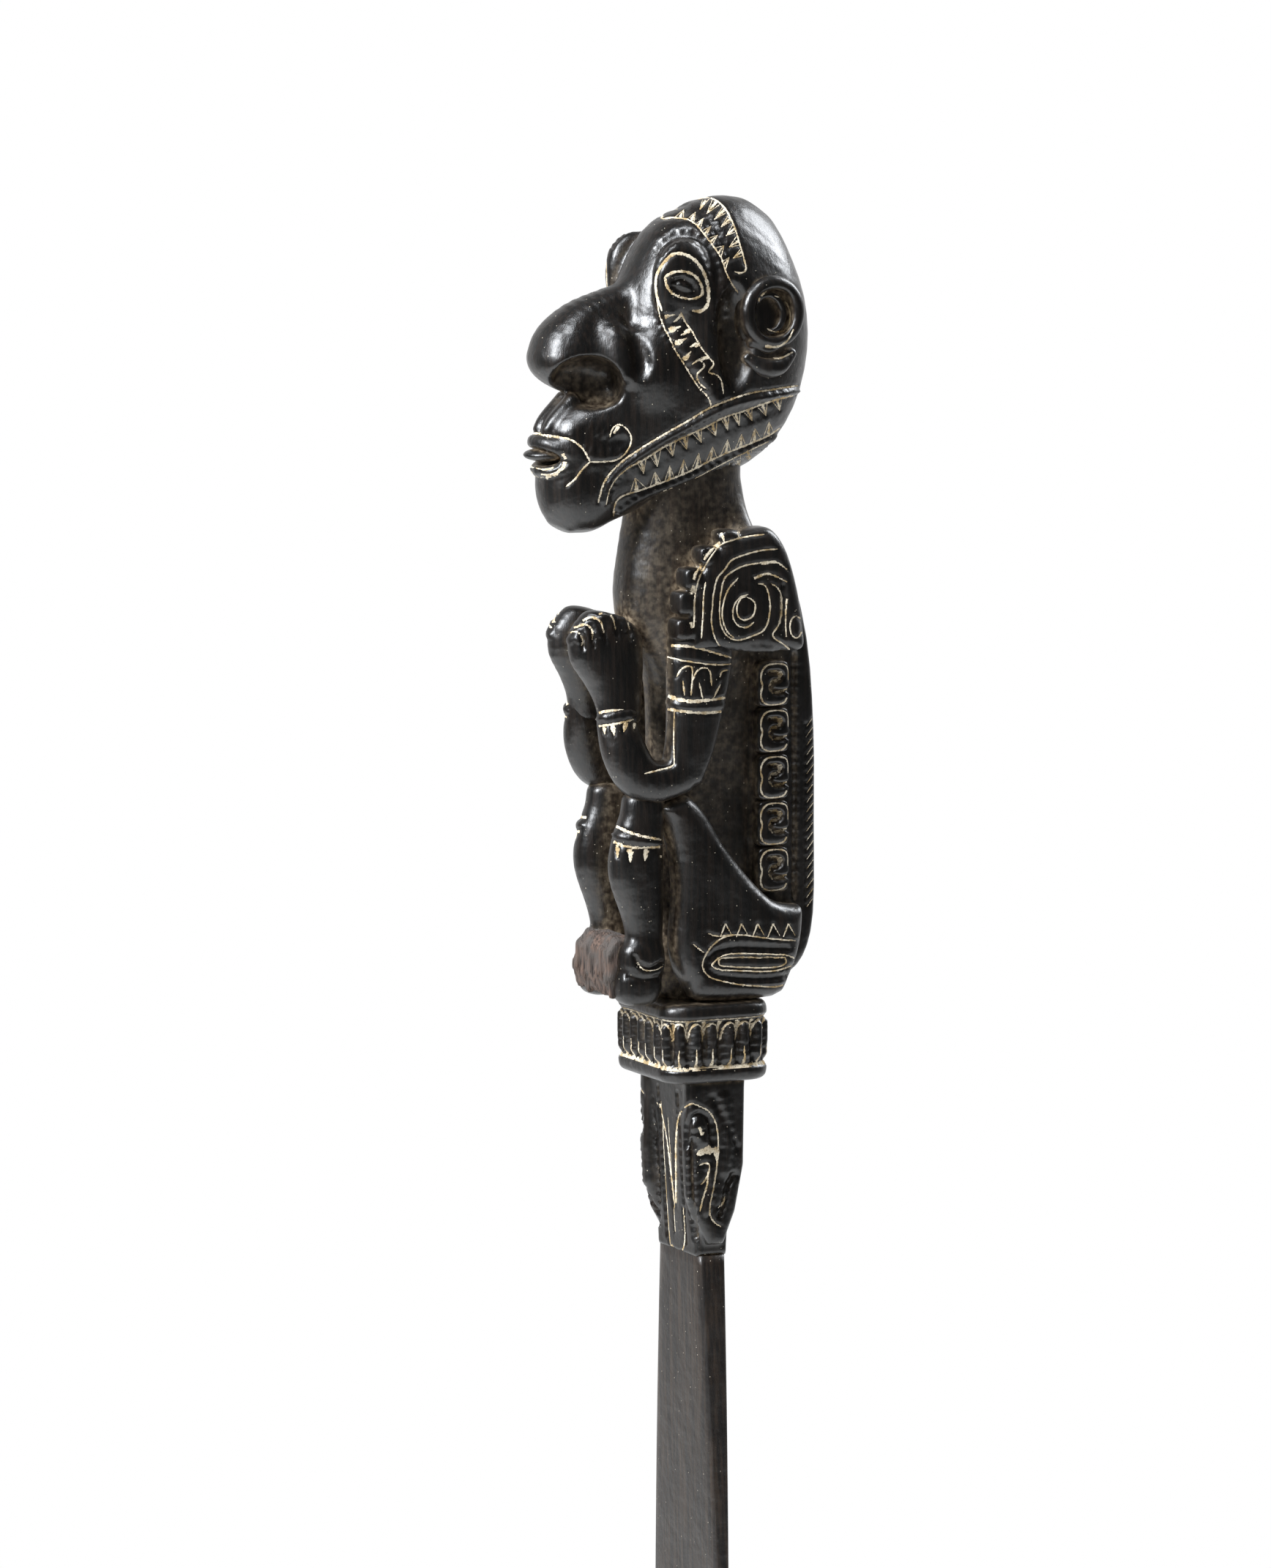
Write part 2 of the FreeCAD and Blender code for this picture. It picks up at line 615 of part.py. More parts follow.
def make_nose():
    """The nose is lofted down its bridge, and its nostrils are hollowed from below."""
    length, deep, wide = mm("nose_length"), mm("nose_half_depth"), mm("nose_half_width")
    root = head_point(mm("nose_along"), -mm("nose_across"))
    down, square = Vector(0, -0.82, -0.57), Vector(0, -0.57, 0.82)
    shape = [
        # share of the length, middle over the bridge's line, share of the depth, share of the width
        (0.0, -1.0, 0.39, 0.45),
        (0.21, -1.5, 0.58, 0.49),
        (0.43, -2.5, 0.83, 0.65),
        (0.64, -3.0, 0.95, 0.93),
        (0.81, -3.4, 0.9, 0.98),
        (0.94, -3.2, 0.57, 0.72),
        (1.0, -2.7, 0.23, 0.37),
    ]
    sections = []
    for share, over, half_deep, half_wide in shape:
        centre = root + down * (length * share) + square * over
        sections.append((centre, X, wide * half_wide, square, deep * half_deep, 2.2))
    body = form("nose_form", loft(sections))
    end = root + down * (length * 0.9) - square * 7.6
    holes = []
    for side in (-1, 1):
        holes.append(Part.makeSphere(mm("nostril_radius"), end + X * (side * wide * 0.45)))
    return without("nose_hollowed", body, form("nostrils", Part.makeCompound(holes)))


def make_lips():
    """Two lips that stand out of the muzzle, with a narrow mouth between them."""
    wide, tall = mm("lip_half_width"), mm("lip_half_height")
    front = head_point(mm("lip_along"), -mm("lip_across"))
    sections, slot = [], []
    for back, share in ((5.0, 1.1), (1.2, 1.0), (0.0, 0.68)):
        sections.append((front + Y * back, X, wide * share, Z, tall * share, 2.0))
    for back, share in ((1.6, 0.6), (-1.0, 1.0)):
        slot.append((front + Y * back, X, wide * share, Z, tall * share * 0.24, 2.0))
    return without("lips_parted", form("lips_form", loft(sections)), form("mouth_slot", loft(slot)))


def make_ear():
    """The left ear: a scroll with a hollow, and a lobe under it."""
    centre = head_point(mm("ear_along"), mm("ear_across"))
    inner, outer = mm("head_half_width") * 0.55, mm("ear_outer")
    radius = mm("ear_radius")
    scroll = doc.addObject("Part::Cylinder", "ear_scroll")
    bind(scroll, "Radius", cell("ear_radius"))
    scroll.Height = outer - inner
    scroll.Placement = Placement(centre + X * inner, Rotation(Z, X))
    lobe = doc.addObject("Part::Cylinder", "ear_lobe")
    bind(lobe, "Radius", cell("lobe_radius"))
    lobe.Height = (outer - inner) * 0.96
    drop = radius + mm("lobe_radius") * 0.55
    lobe.Placement = Placement(centre + X * inner - Z * drop + Y * 1.2, Rotation(Z, X))
    hollow = doc.addObject("Part::Cylinder", "ear_hollow_cutter")
    bind(hollow, "Radius", cell("ear_hollow"))
    hollow.Height = mm("ear_hollow_depth") + 1
    start = centre + X * (outer - mm("ear_hollow_depth"))
    hollow.Placement = Placement(start, Rotation(Z, X))
    both = joined("ear_blank", [scroll, lobe])
    return without("ear_carved", both, hollow)


def make_eye():
    """The left eye disc, a lens that stands a little out of the temple."""
    centre = head_point(mm("eye_along"), -mm("eye_across"))
    deep, tall = mm("eye_half_depth"), mm("eye_half_height")
    inner = mm("head_half_width") * 0.5
    sections = [
        (centre + X * inner, Y, deep, Z, tall, 2.0),
        (centre + X * (mm("eye_outer") - 0.6), Y, deep, Z, tall, 2.0),
        (centre + X * mm("eye_outer"), Y, deep * 0.8, Z, tall * 0.8, 2.0),
    ]
    return form("eye_form", loft(sections))


def eye_line():
    """A ring of lime let into the eye disc."""
    centre = head_point(mm("eye_along"), -mm("eye_across"))
    deep, tall = mm("eye_half_depth"), mm("eye_half_height")
    rings = []
    for share in (0.72, 0.72 - mm("lime_width") / deep):
        sections = [
            (centre + X * (mm("eye_outer") - mm("lime_depth")), Y, deep * share, Z, tall * share, 2.0),
            (centre + X * (mm("eye_outer") + 0.5), Y, deep * share, Z, tall * share, 2.0),
        ]
        rings.append(loft(sections))
    return form("eye_ring", rings[0].cut(rings[1]))


def make_shin():
    """Knee, calf and ankle of the left leg."""
    spread, setback, top = mm("shin_spread"), mm("shin_setback"), mm("knee_height")
    wide, deep = mm("shin_half_width"), mm("shin_half_depth")
    foot = mm("foot_height")
    shape = [
        # height over the drum, forward of the shin's middle, half width, half depth
        (foot * 0.6, -0.2, wide * 0.72, deep * 0.62),
        (foot + 2.0, -0.2, wide * 0.74, deep * 0.64),
        (foot + 6.0, 0.6, wide * 0.9, deep * 0.88),
        (top * 0.72, 1.0, wide, deep),
        (mm("knee_band_height"), 0.3, wide * 0.96, deep * 0.95),
        (top - 2.6, -0.7, wide * 1.02, deep * 1.04),
        (top - 0.2, -1.9, wide * 0.8, deep * 0.76),
    ]
    sections = [
        (at(setback + push, height, spread), X, w, Y, d, 2.2) for height, push, w, d in shape
    ]
    return form("shin_form", loft(sections))


def limb_band(name, centre, way, half_wide, half_deep):
    """A raised band square to a limb, let a little into it."""
    across = way.cross(X).normalize()
    half = mm("band_height") / 2
    outer, inner = mm("band_relief"), -mm("band_inset")
    rings = []
    for grow, over in ((outer, 0.0), (inner, 0.5)):
        sections = []
        for step in (-half - over, half + over):
            sections.append((centre + way * step, X, half_wide + grow, across, half_deep + grow, 2.2))
        rings.append(loft(sections))
    return form(name, rings[0].cut(rings[1]))


def rounded_plate(body, name, plate, outer_x, above):
    """Rounds the corners of a plate's side outline over a height, then its outer edge."""
    doc.recompute()
    corners = edges_where(
        plate.Shape, lambda e: runs_along(e, X) and min(v.Z for v in e.Vertexes) > above
    )
    eased = round_edges(body, f"{name}_corners", plate, corners, cell(f"{name}_corner_radius"))
    doc.recompute()
    outer = edges_where(eased.Shape, lambda e: min(v.X for v in e.Vertexes) > outer_x - 0.01)
    body.Tip = round_edges(body, f"{name}_edges", eased, outer, cell(f"{name}_edge_radius"))
    return body


def make_thigh():
    """The left thigh and hip: one side outline, padded outwards and rounded on its outer edge."""
    body = new_body("thigh_body")
    side = new_sketch(body, "thigh_outline", "YZ_Plane", cell("thigh_inner"))
    front, back = mm("thigh_front"), mm("hip_back")
    knee, hip = mm("knee_height"), mm("hip_height")
    top = TOP_FORMULA
    f, b = cell("thigh_front"), cell("hip_back")
    k, h = cell("knee_height"), cell("hip_height")
    corners = [
        (f"-{f} - 1.8", -front - 1.8, f"{top} + {k} - 2", DRUM_TOP + knee - 2),
        (f"-{f}", -front, f"{top} + {k} * 0.76", DRUM_TOP + knee * 0.76),
        (f"-{f}", -front, f"{top} + {h} * 0.45", DRUM_TOP + hip * 0.45),
        (f"-{f} * 0.6", -front * 0.6, top, DRUM_TOP),
        (f"{b} * 0.62", back * 0.62, top, DRUM_TOP),
        (f"{b} * 0.97", back * 0.97, f"{top} + {h} * 0.32", DRUM_TOP + hip * 0.32),
        (b, back, f"{top} + {h}", DRUM_TOP + hip),
        (f"{b} * 0.62", back * 0.62, f"{top} + {h}", DRUM_TOP + hip),
        (f"{b} * 0.2", back * 0.2, f"{top} + {h} + {k} * 0.22", DRUM_TOP + hip + knee * 0.22),
        (f"-{f} * 0.55", -front * 0.55, f"{top} + {k}", DRUM_TOP + knee),
        (f"-{f}", -front, f"{top} + {k} + 0.6", DRUM_TOP + knee + 0.6),
    ]
    fixed_loop(side, corners)
    plate = pad(body, "thigh_plate", side, f"{cell('thigh_outer')} - {cell('thigh_inner')}")
    return rounded_plate(body, "thigh", plate, mm("thigh_outer"), DRUM_TOP + 1)


def make_foot():
    """The left foot, short because its toes have broken away."""
    reach, length = mm("foot_reach"), mm("foot_length")
    spread, height = mm("shin_spread"), mm("foot_height")
    box = doc.addObject("Part::Box", "foot_block")
    bind(box, "Length", cell("foot_width"))
    bind(box, "Width", cell("foot_length"))
    bind(box, "Height", cell("foot_height"))
    box.Placement = Placement(at(reach, 0, spread - mm("foot_width") / 2), Rotation())
    doc.recompute()
    rounded = doc.addObject("Part::Fillet", "foot_rounded")
    rounded.Base = box
    far, top = -reach + length, DRUM_TOP + height
    chosen = []
    for i, edge in enumerate(box.Shape.Edges, start=1):
        ys, zs = [v.Y for v in edge.Vertexes], [v.Z for v in edge.Vertexes]
        if min(ys) > far - 0.01 or min(zs) > top - 0.01:
            chosen.append((i, 1.6, 1.6))
    rounded.Edges = chosen
    return rounded


def make_web():
    """The broken web between the feet."""
    box = doc.addObject("Part::Box", "web_block")
    bind(box, "Length", f"{cell('foot_gap')} + {cell('foot_width')}")
    bind(box, "Width", cell("foot_length"))
    bind(box, "Height", cell("web_height"))
    half = (mm("foot_gap") + mm("foot_width")) / 2
    box.Placement = Placement(at(mm("foot_reach"), 0, -half), Rotation())
    return box


def make_ridge():
    """The board down the back, with the narrower wall in front of it that carries the chains."""
    body = new_body("ridge_body")
    side = new_sketch(body, "ridge_outline", "YZ_Plane")
    f, b = cell("ridge_front"), cell("ridge_back")
    low, high = cell("ridge_bottom"), cell("ridge_top")
    front, back = mm("ridge_front"), mm("ridge_back")
    bottom, top = mm("ridge_bottom"), mm("ridge_top")
    rise = top - bottom
    zero = f"{TOP_FORMULA} + {low}"
    step = f"({high} - {low})"
    base = DRUM_TOP + bottom
    corners = [
        (f, front, zero, base),
        (f"{b} - 2", back - 2, f"{zero} + 2", base + 2),
        (b, back, f"{zero} + {step} * 0.18", base + rise * 0.18),
        (b, back, f"{zero} + {step} * 0.55", base + rise * 0.55),
        (f"{b} - 1.4", back - 1.4, f"{zero} + {step} * 0.82", base + rise * 0.82),
        (f"{b} - 5.2", back - 5.2, f"{zero} + {step}", base + rise),
        (f, front, f"{zero} + {step}", base + rise),
    ]
    fixed_loop(side, corners)
    board = pad(body, "ridge_board", side, f"{cell('ridge_half_width')} * 2", both_ways=True)
    doc.recompute()
    back_edges = edges_where(
        board.Shape,
        lambda e: abs(e.Vertexes[0].X - e.Vertexes[-1].X) < 0.01
        and min(v.Y for v in e.Vertexes) > front + 0.01
        and e.Length > 2.9,
    )
    rounded = round_edges(body, "ridge_edges", board, back_edges, cell("ridge_edge_radius"))
    wall = new_sketch(body, "wall_plan", "XY_Plane", TOP_FORMULA)
    w, wf = cell("wall_half_width"), cell("wall_front")
    wide, near = mm("wall_half_width"), mm("wall_front")
    fixed_loop(
        wall,
        [
            (f"-{w}", -wide, wf, near),
            (w, wide, wf, near),
            (w, wide, f"{f} + 0.5", front + 0.5),
            (f"-{w}", -wide, f"{f} + 0.5", front + 0.5),
        ],
    )
    body.Tip = pad(body, "chain_wall", wall, cell("ridge_top"))
    return body


def make_chain():
    """The left scroll chain: links in relief, each with a hooked slot through its face."""
    front, back = mm("chain_front"), mm("chain_back")
    inner, outer = mm("wall_half_width"), mm("chain_relief")
    slot, step = mm("link_slot"), mm("link_height")
    links = []
    for i in range(int(round(mm("link_count")))):
        low = mm("chain_bottom") + i * step
        height = step - mm("link_gap")
        blank = Part.makeBox(outer - inner, back - front, height, at(-front, low, inner))
        upright = [e for e in blank.Edges if runs_along(e, X)]
        blank = blank.makeFillet(min(1.6, height * 0.24), upright)
        deep = 0.8
        side = -1 if i in (1, 4) else 1
        middle_y = (front + back) / 2
        start = outer - deep

        def bar(y_low, y_high, z_low, z_high):
            return Part.makeBox(
                deep + 1, y_high - y_low, z_high - z_low, at(-y_low, low + z_low, start)
            )

        reach = (back - front) * 0.22
        column = middle_y - side * reach
        bars = [
            bar(column - slot / 2, column + slot / 2, height * 0.28, height * 0.72),
            bar(middle_y - reach - slot / 2, middle_y + reach + slot / 2, height * 0.72 - slot, height * 0.72),
            bar(middle_y - reach - slot / 2, middle_y + reach + slot / 2, height * 0.28, height * 0.28 + slot),
        ]
        for cutter in bars:
            blank = blank.cut(cutter)
        links.append(blank)
    return form("chain_form", Part.makeCompound(links))


def make_shoulder():
    """The left shoulder: a domed outline, padded outwards and rounded on its outer edge."""
    body = new_body("shoulder_body")
    side = new_sketch(body, "shoulder_outline", "YZ_Plane", cell("shoulder_inner"))
    front, back = mm("shoulder_front"), mm("shoulder_back")
    low, high = mm("shoulder_bottom"), mm("shoulder_top")
    rise = high - low
    f, b = cell("shoulder_front"), cell("shoulder_back")
    zero = f"{TOP_FORMULA} + {cell('shoulder_bottom')}"
    r = f"({cell('shoulder_top')} - {cell('shoulder_bottom')})"
    base = DRUM_TOP + low
    corners = [
        (f"-{f} + 1.2", -front + 1.2, zero, base),
        (f"{b} - 1", back - 1, zero, base),
        (b, back, f"{zero} + {r} * 0.3", base + rise * 0.3),
        (f"{b} * 0.78", back * 0.78, f"{zero} + {r} * 0.76", base + rise * 0.76),
        (f"{b} * 0.5", back * 0.5, f"{zero} + {r}", base + rise),
        (f"{b} * 0.12", back * 0.12, f"{zero} + {r} * 0.97", base + rise * 0.97),
        (f"-{f} * 0.42", -front * 0.42, f"{zero} + {r} * 0.78", base + rise * 0.78),
        (f"-{f} * 0.84", -front * 0.84, f"{zero} + {r} * 0.5", base + rise * 0.5),
        (f"-{f}", -front, f"{zero} + {r} * 0.22", base + rise * 0.22),
    ]
    fixed_loop(side, corners)
    plate = pad(body, "shoulder_plate", side, f"{cell('shoulder_outer')} - {cell('shoulder_inner')}")
    return rounded_plate(body, "shoulder", plate, mm("shoulder_outer"), base + 1)


def shoulder_lines():
    """Three oval grooves on the left shoulder, one inside the other."""
    middle_y = (mm("shoulder_back") - mm("shoulder_front")) / 2
    centre_height = mm("shoulder_bottom") + mm("spiral_half_height") + 2.0
    outer = mm("shoulder_outer")
    rings = []
    for share in (1.0, 0.7, 0.36):
        pair = []
        for shrink in (0.0, mm("lime_width")):
            deep = mm("spiral_half_depth") * share - shrink
            tall = mm("spiral_half_height") * share - shrink
            sections = [
                (at(-middle_y, centre_height, outer - mm("lime_depth")), Y, deep, Z, tall, 2.0),
                (at(-middle_y, centre_height, outer + 1.0), Y, deep, Z, tall, 2.0),
            ]
            pair.append(loft(sections))
        rings.append(pair[0].cut(pair[1]))
    return form("shoulder_rings", Part.makeCompound(rings))


def make_upper_arm():
    spread, setback = mm("arm_spread"), mm("arm_setback")
    wide, deep = mm("arm_half_width"), mm("arm_half_depth")
    top, elbow = mm("shoulder_bottom") + 4.0, mm("elbow_height")
    drop = mm("elbow_setback") - setback
    sections = []
    for share, w, d, push in (
        (0.0, 0.95, 1.0, 0.0),
        (0.35, 1.0, 1.04, 0.0),
        (0.62, 0.96, 0.92, 0.16),
        (0.85, 0.98, 0.86, 0.5),
        (1.0, 0.95, 0.8, 0.8),
        (1.16, 0.7, 0.6, 1.1),
    ):
        centre = at(setback + drop * push, top + (elbow - top) * share, spread)
        sections.append((centre, X, wide * w, Y, deep * d, 2.2))
    return form("upper_arm_form", loft(sections))


def make_forearm():
    """From inside the elbow forward and up to the wrist."""
    wide, deep = mm("forearm_half_width"), mm("forearm_half_depth")
    elbow = at(mm("elbow_setback"), mm("elbow_height"), mm("arm_spread") * 0.95)
    wrist = at(mm("wrist_setback"), mm("wrist_height"), mm("wrist_spread"))
    way = wrist - elbow
    sections = []
    for share, lean, w, d in (
        (-0.05, 0.1, 1.0, 0.9),
        (0.3, 0.55, 1.05, 1.12),
        (0.6, 0.85, 0.98, 1.0),
        (1.0, 1.0, mm("wrist_half_width") / wide, mm("wrist_half_depth") / deep),
    ):
        centre = elbow + Vector(way.x * share, way.y * min(1.0, share * 1.35), way.z * share)
        turn = math.radians(70 * (1 - lean))
        along = Vector(0, math.cos(turn), math.sin(turn))
        sections.append((centre, X, wide * w, along, deep * d, 2.2))
    return form("forearm_form", loft(sections))


def make_hand():
    """The left fist, drawn in to the middle from the wrist."""
    wrist = at(mm("wrist_setback"), mm("wrist_height"), mm("wrist_spread"))
    top = at(mm("hand_setback"), mm("hand_top"), mm("hand_spread"))
    way = top - wrist
    wide, deep = mm("hand_half_width"), mm("hand_half_depth")
    sections = []
    for share, w, d, push in (
        (0.0, mm("wrist_half_width") / wide, mm("wrist_half_depth") / deep, 0.0),
        (0.2, 0.84, 0.58, 0.0),
        (0.48, 0.98, 0.84, 0.5),
        (0.72, 1.0, 1.0, 0.9),
        (0.9, 0.86, 0.84, 0.3),
        (1.0, 0.5, 0.5, -0.8),
    ):
        centre = wrist + way * share - Y * push
        sections.append((centre, X, wide * w, Y, deep * d, 2.3))
    raw = form("hand_form", loft(sections))
    slit = doc.addObject("Part::Box", "hand_slit")
    far = mm("hand_half_width") * 3
    slit.Length = far + mm("hand_gap")
    slit.Width = mm("hand_half_depth") * 6
    slit.Height = mm("hand_top")
    slit.Placement = Placement(
        at(mm("hand_setback") + mm("hand_half_depth") * 3, mm("wrist_height") - 5, -far), Rotation()
    )
    return without("hand_parted", raw, slit)


def build():
    make_blade()
    make_collar()
    make_drum()

    # Raw forms of the middle and of the left side
    torso, neck, head = make_torso(), make_neck(), make_head()
    nose, lips = make_nose(), make_lips()
    ridge, chain = make_ridge(), make_chain()
    thigh, shin, foot, web = make_thigh(), make_shin(), make_foot(), make_web()
    shoulder, upper_arm = make_shoulder(), make_upper_arm()
    forearm, hand = make_forearm(), make_hand()
    ear, eye = make_ear(), make_eye()
    knee_band = limb_band(
        "knee_band_form",
        at(mm("shin_setback") + 0.3, mm("knee_band_height"), mm("shin_spread")),
        Z,
        mm("shin_half_width") * 0.96,
        mm("shin_half_depth") * 0.95,
    )
    wrist_band = limb_band(
        "wrist_band_form",
        at(mm("wrist_setback"), mm("wrist_height"), mm("wrist_spread")),
        Z,
        mm("wrist_half_width"),
        mm("wrist_half_depth"),
    )
    arm_band = limb_band(
        "arm_band_form",
        at(mm("arm_setback"), (mm("shoulder_bottom") + mm("elbow_height")) / 2 + 2.5, mm("arm_spread")),
        Z,
        mm("arm_half_width"),
        mm("arm_half_depth"),
    )

    # The middle: each form gives way to those before it
    finish("head", head)
    finish("nose", without("nose_node", nose, head))
    finish("lips", without("lips_node", lips, head, nose))
    finish("torso", torso)
    finish("back_board", without("back_board_node", ridge, torso))

    # The left side, then its mirror image
    rings = shoulder_lines()
    shoulder_cut = without("shoulder_node", shoulder, torso)
    finish_pair("shoulder", without("shoulder_lined", shoulder_cut, rings))
    finish_pair("shoulder_lime", shared("shoulder_lime_node", shoulder_cut, rings))
    far_shoulder = mirrored("shoulder_mirror", shoulder)
    finish("neck", without("neck_node", neck, head, shoulder, far_shoulder))
    finish_pair("spine_chain", chain)
    finish_pair("thigh", without("thigh_node", thigh, torso, ridge, chain))
    finish_pair("arm_band", without("arm_band_node", arm_band, torso))
    finish_pair("upper_arm", without("upper_arm_node", upper_arm, torso, shoulder, arm_band, thigh))
    finish_pair("wrist_band", wrist_band)
    finish_pair("forearm", without("forearm_node", forearm, upper_arm, wrist_band, thigh, torso))
    finish_pair("hand", without("hand_node", hand, wrist_band, forearm, torso))
    finish_pair("knee_band", without("knee_band_node", knee_band, thigh, torso))
    finish_pair("shin", without("shin_node", shin, thigh, knee_band, torso, upper_arm, forearm))
    finish_pair("foot", without("foot_node", foot, shin, thigh, torso))
    finish("foot_web", without("foot_web_node", web, foot, mirrored("foot_mirror", foot), torso))
    finish_pair("ear", without("ear_node", ear, head))
    eye_rings = eye_line()
    eye_cut = without("eye_node", eye, head, nose)
    finish_pair("eye", without("eye_lined", eye_cut, eye_rings))
    finish_pair("eye_lime", shared("eye_lime_node", eye_cut, eye_rings))


build()
doc.recompute()
troubled = [o.Name for o in doc.Objects if "Invalid" in o.State or "Error" in o.State]
if troubled:
    raise SystemExit(f"objects that failed: {troubled}")
for thing in finished:
    shape = thing.Shape
    if shape.isNull() or not shape.isValid() or not shape.Solids:
        raise SystemExit(f"{thing.Label} has no valid solid")

os.makedirs("parts", exist_ok=True)
for thing in finished:
    thing.Shape.exportStep(os.path.join("parts", f"{thing.Label}.step"))
    print(f"{thing.Label}: {len(thing.Shape.Solids)} solids, {thing.Shape.Volume:.1f} mm3")
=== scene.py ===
# %% [markdown]
# # A lime spatula in Blender
# The real object is a carved stick of ebony: a long blade, and for a handle a squatting figure with its
# chin on its fists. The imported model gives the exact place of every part. This lesson dresses it: each
# carved form is sculpted in code, its cut lines are filled with lime, and the wood gets its finish.

# %% Load the measured model
import math

import bpy
import numpy as np
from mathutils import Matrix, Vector
from mathutils.bvhtree import BVHTree
from mathutils.kdtree import KDTree


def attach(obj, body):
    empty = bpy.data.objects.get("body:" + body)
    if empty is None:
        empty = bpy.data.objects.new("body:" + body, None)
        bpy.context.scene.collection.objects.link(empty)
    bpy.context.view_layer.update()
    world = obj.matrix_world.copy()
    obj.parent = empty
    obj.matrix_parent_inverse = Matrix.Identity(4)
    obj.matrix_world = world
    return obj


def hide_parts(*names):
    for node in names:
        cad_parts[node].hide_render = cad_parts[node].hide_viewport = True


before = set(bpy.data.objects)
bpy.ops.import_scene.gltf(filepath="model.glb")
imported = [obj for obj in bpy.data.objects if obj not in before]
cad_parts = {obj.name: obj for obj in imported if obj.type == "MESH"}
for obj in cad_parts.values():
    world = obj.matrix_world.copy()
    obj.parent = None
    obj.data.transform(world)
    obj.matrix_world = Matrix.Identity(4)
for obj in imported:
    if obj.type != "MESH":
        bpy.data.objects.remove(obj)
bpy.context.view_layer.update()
# Sizes are in millimetres, and heights on the figure are counted from the drum's top
MM = 0.001
DRUM_TOP = 239.0
GRID = 0.3
print("nodes:", len(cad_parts), "grid", GRID)

# %% [markdown]
# The camera comes first, because carving is judged from where the photograph was taken. It stands level
# with the figure's chest, to its left and a little in front, far off with a long lens, so that the blade
# doesn't taper by perspective.

# %% Camera
AZIMUTH, ELEVATION, DISTANCE = math.radians(65), math.radians(7.5), 1400.0
TARGET = np.array((0.0, -9.47, 271.6))
flat = math.cos(ELEVATION)
BACK = np.array((math.sin(AZIMUTH) * flat, -math.cos(AZIMUTH) * flat, math.sin(ELEVATION)))
RIGHT = np.array((math.cos(AZIMUTH), math.sin(AZIMUTH), 0.0))
UP = np.cross(BACK, RIGHT)
MM_PER_PIXEL = 0.11
PHOTO_WIDE, PHOTO_TALL = 1736, 2142
MID_ACROSS, MID_DOWN = PHOTO_WIDE / 2, PHOTO_TALL / 2
SENSOR = 36.0
camera_data = bpy.data.cameras.new("camera")
camera_data.sensor_fit = "VERTICAL"
camera_data.sensor_height = SENSOR
camera_data.lens = SENSOR * DISTANCE / (PHOTO_TALL * MM_PER_PIXEL)
camera_data.clip_start, camera_data.clip_end = 0.05, 20.0
camera = bpy.data.objects.new("camera", camera_data)
camera.location = (TARGET + BACK * DISTANCE) * MM
camera.rotation_euler = Vector(-BACK).to_track_quat("-Z", "Y").to_euler()
bpy.context.scene.collection.objects.link(camera)
bpy.context.scene.camera = camera
print("lens", round(camera_data.lens, 1), "mm")

# %% [markdown]
# The spatula was photographed on white, under soft boxes. Black polished wood shows its shape only by what
# it mirrors: the lamps give the bright patches, and the white sheet behind it gives the pale edges. So the
# world is white behind the figure and dark in front of it, and only the lamps are bright.

# %% Studio
scene = bpy.context.scene
scene.view_settings.view_transform = "Standard"


def linear(code):
    """A hex colour as the eye reads it, turned to the light that Blender works in."""
    parts = [int(code[i : i + 2], 16) / 255 for i in (1, 3, 5)]
    made = [c / 12.92 if c <= 0.04045 else ((c + 0.055) / 1.055) ** 2.4 for c in parts]
    return (*made, 1.0)


def add(tree, kind, inputs=None, **settings):
    """Adds a node with its settings. An input is a value, an output, or a node's first output in use."""
    node = tree.nodes.new(kind)
    for key, value in settings.items():
        setattr(node, key, value)
    for key, value in (inputs or {}).items():
        if isinstance(value, bpy.types.Node):
            value = next(out for out in value.outputs if out.enabled)
        if isinstance(value, bpy.types.NodeSocket):
            tree.links.new(value, node.inputs[key])
        else:
            node.inputs[key].default_value = value
    return node


world = bpy.data.worlds.new("studio")
scene.world = world
world.use_nodes = True
sky = world.node_tree
sky.nodes.clear()
ray = add(sky, "ShaderNodeLightPath").outputs
toward = add(sky, "ShaderNodeTexCoord").outputs["Generated"]
facing = add(sky, "ShaderNodeVectorMath", {0: toward, 1: tuple(-BACK)}, operation="DOT_PRODUCT")
share = facing.outputs["Value"]
wall = add(sky, "ShaderNodeMapRange", {"Value": share, 1: 0.15, 2: 0.95, 3: 0.05, 4: 0.95})
clear = add(sky, "ShaderNodeMath", {0: ray["Is Camera Ray"], 1: ray["Is Transmission Ray"]}, operation="ADD")
gloss = add(sky, "ShaderNodeMath", {0: ray["Is Glossy Ray"], 1: wall}, operation="MULTIPLY")
seen = add(sky, "ShaderNodeMath", {0: clear, 1: gloss}, operation="MAXIMUM")
soft = add(sky, "ShaderNodeMath", {0: ray["Is Diffuse Ray"], 1: 0.3}, operation="MULTIPLY")
level = add(sky, "ShaderNodeMath", {0: seen, 1: soft}, operation="MAXIMUM")
white = add(sky, "ShaderNodeBackground", {"Color": (1, 1, 1, 1), "Strength": level})
add(sky, "ShaderNodeOutputWorld", {"Surface": white})


def soft_box(name, place, aim, size, power):
    """A wide soft lamp, placed and aimed in millimetres."""
    data = bpy.data.lights.new(name, "AREA")
    data.shape = "RECTANGLE"
    data.size, data.size_y = size[0] * MM, size[1] * MM
    data.energy = power
    data.color = (0.93, 0.96, 1.0)
    lamp = bpy.data.objects.new(name, data)
    lamp.location = Vector(place) * MM
    way = Vector(aim) * MM - lamp.location
    lamp.rotation_euler = way.to_track_quat("-Z", "Y").to_euler()
    scene.collection.objects.link(lamp)
    print(name, "lamp", power, "W")


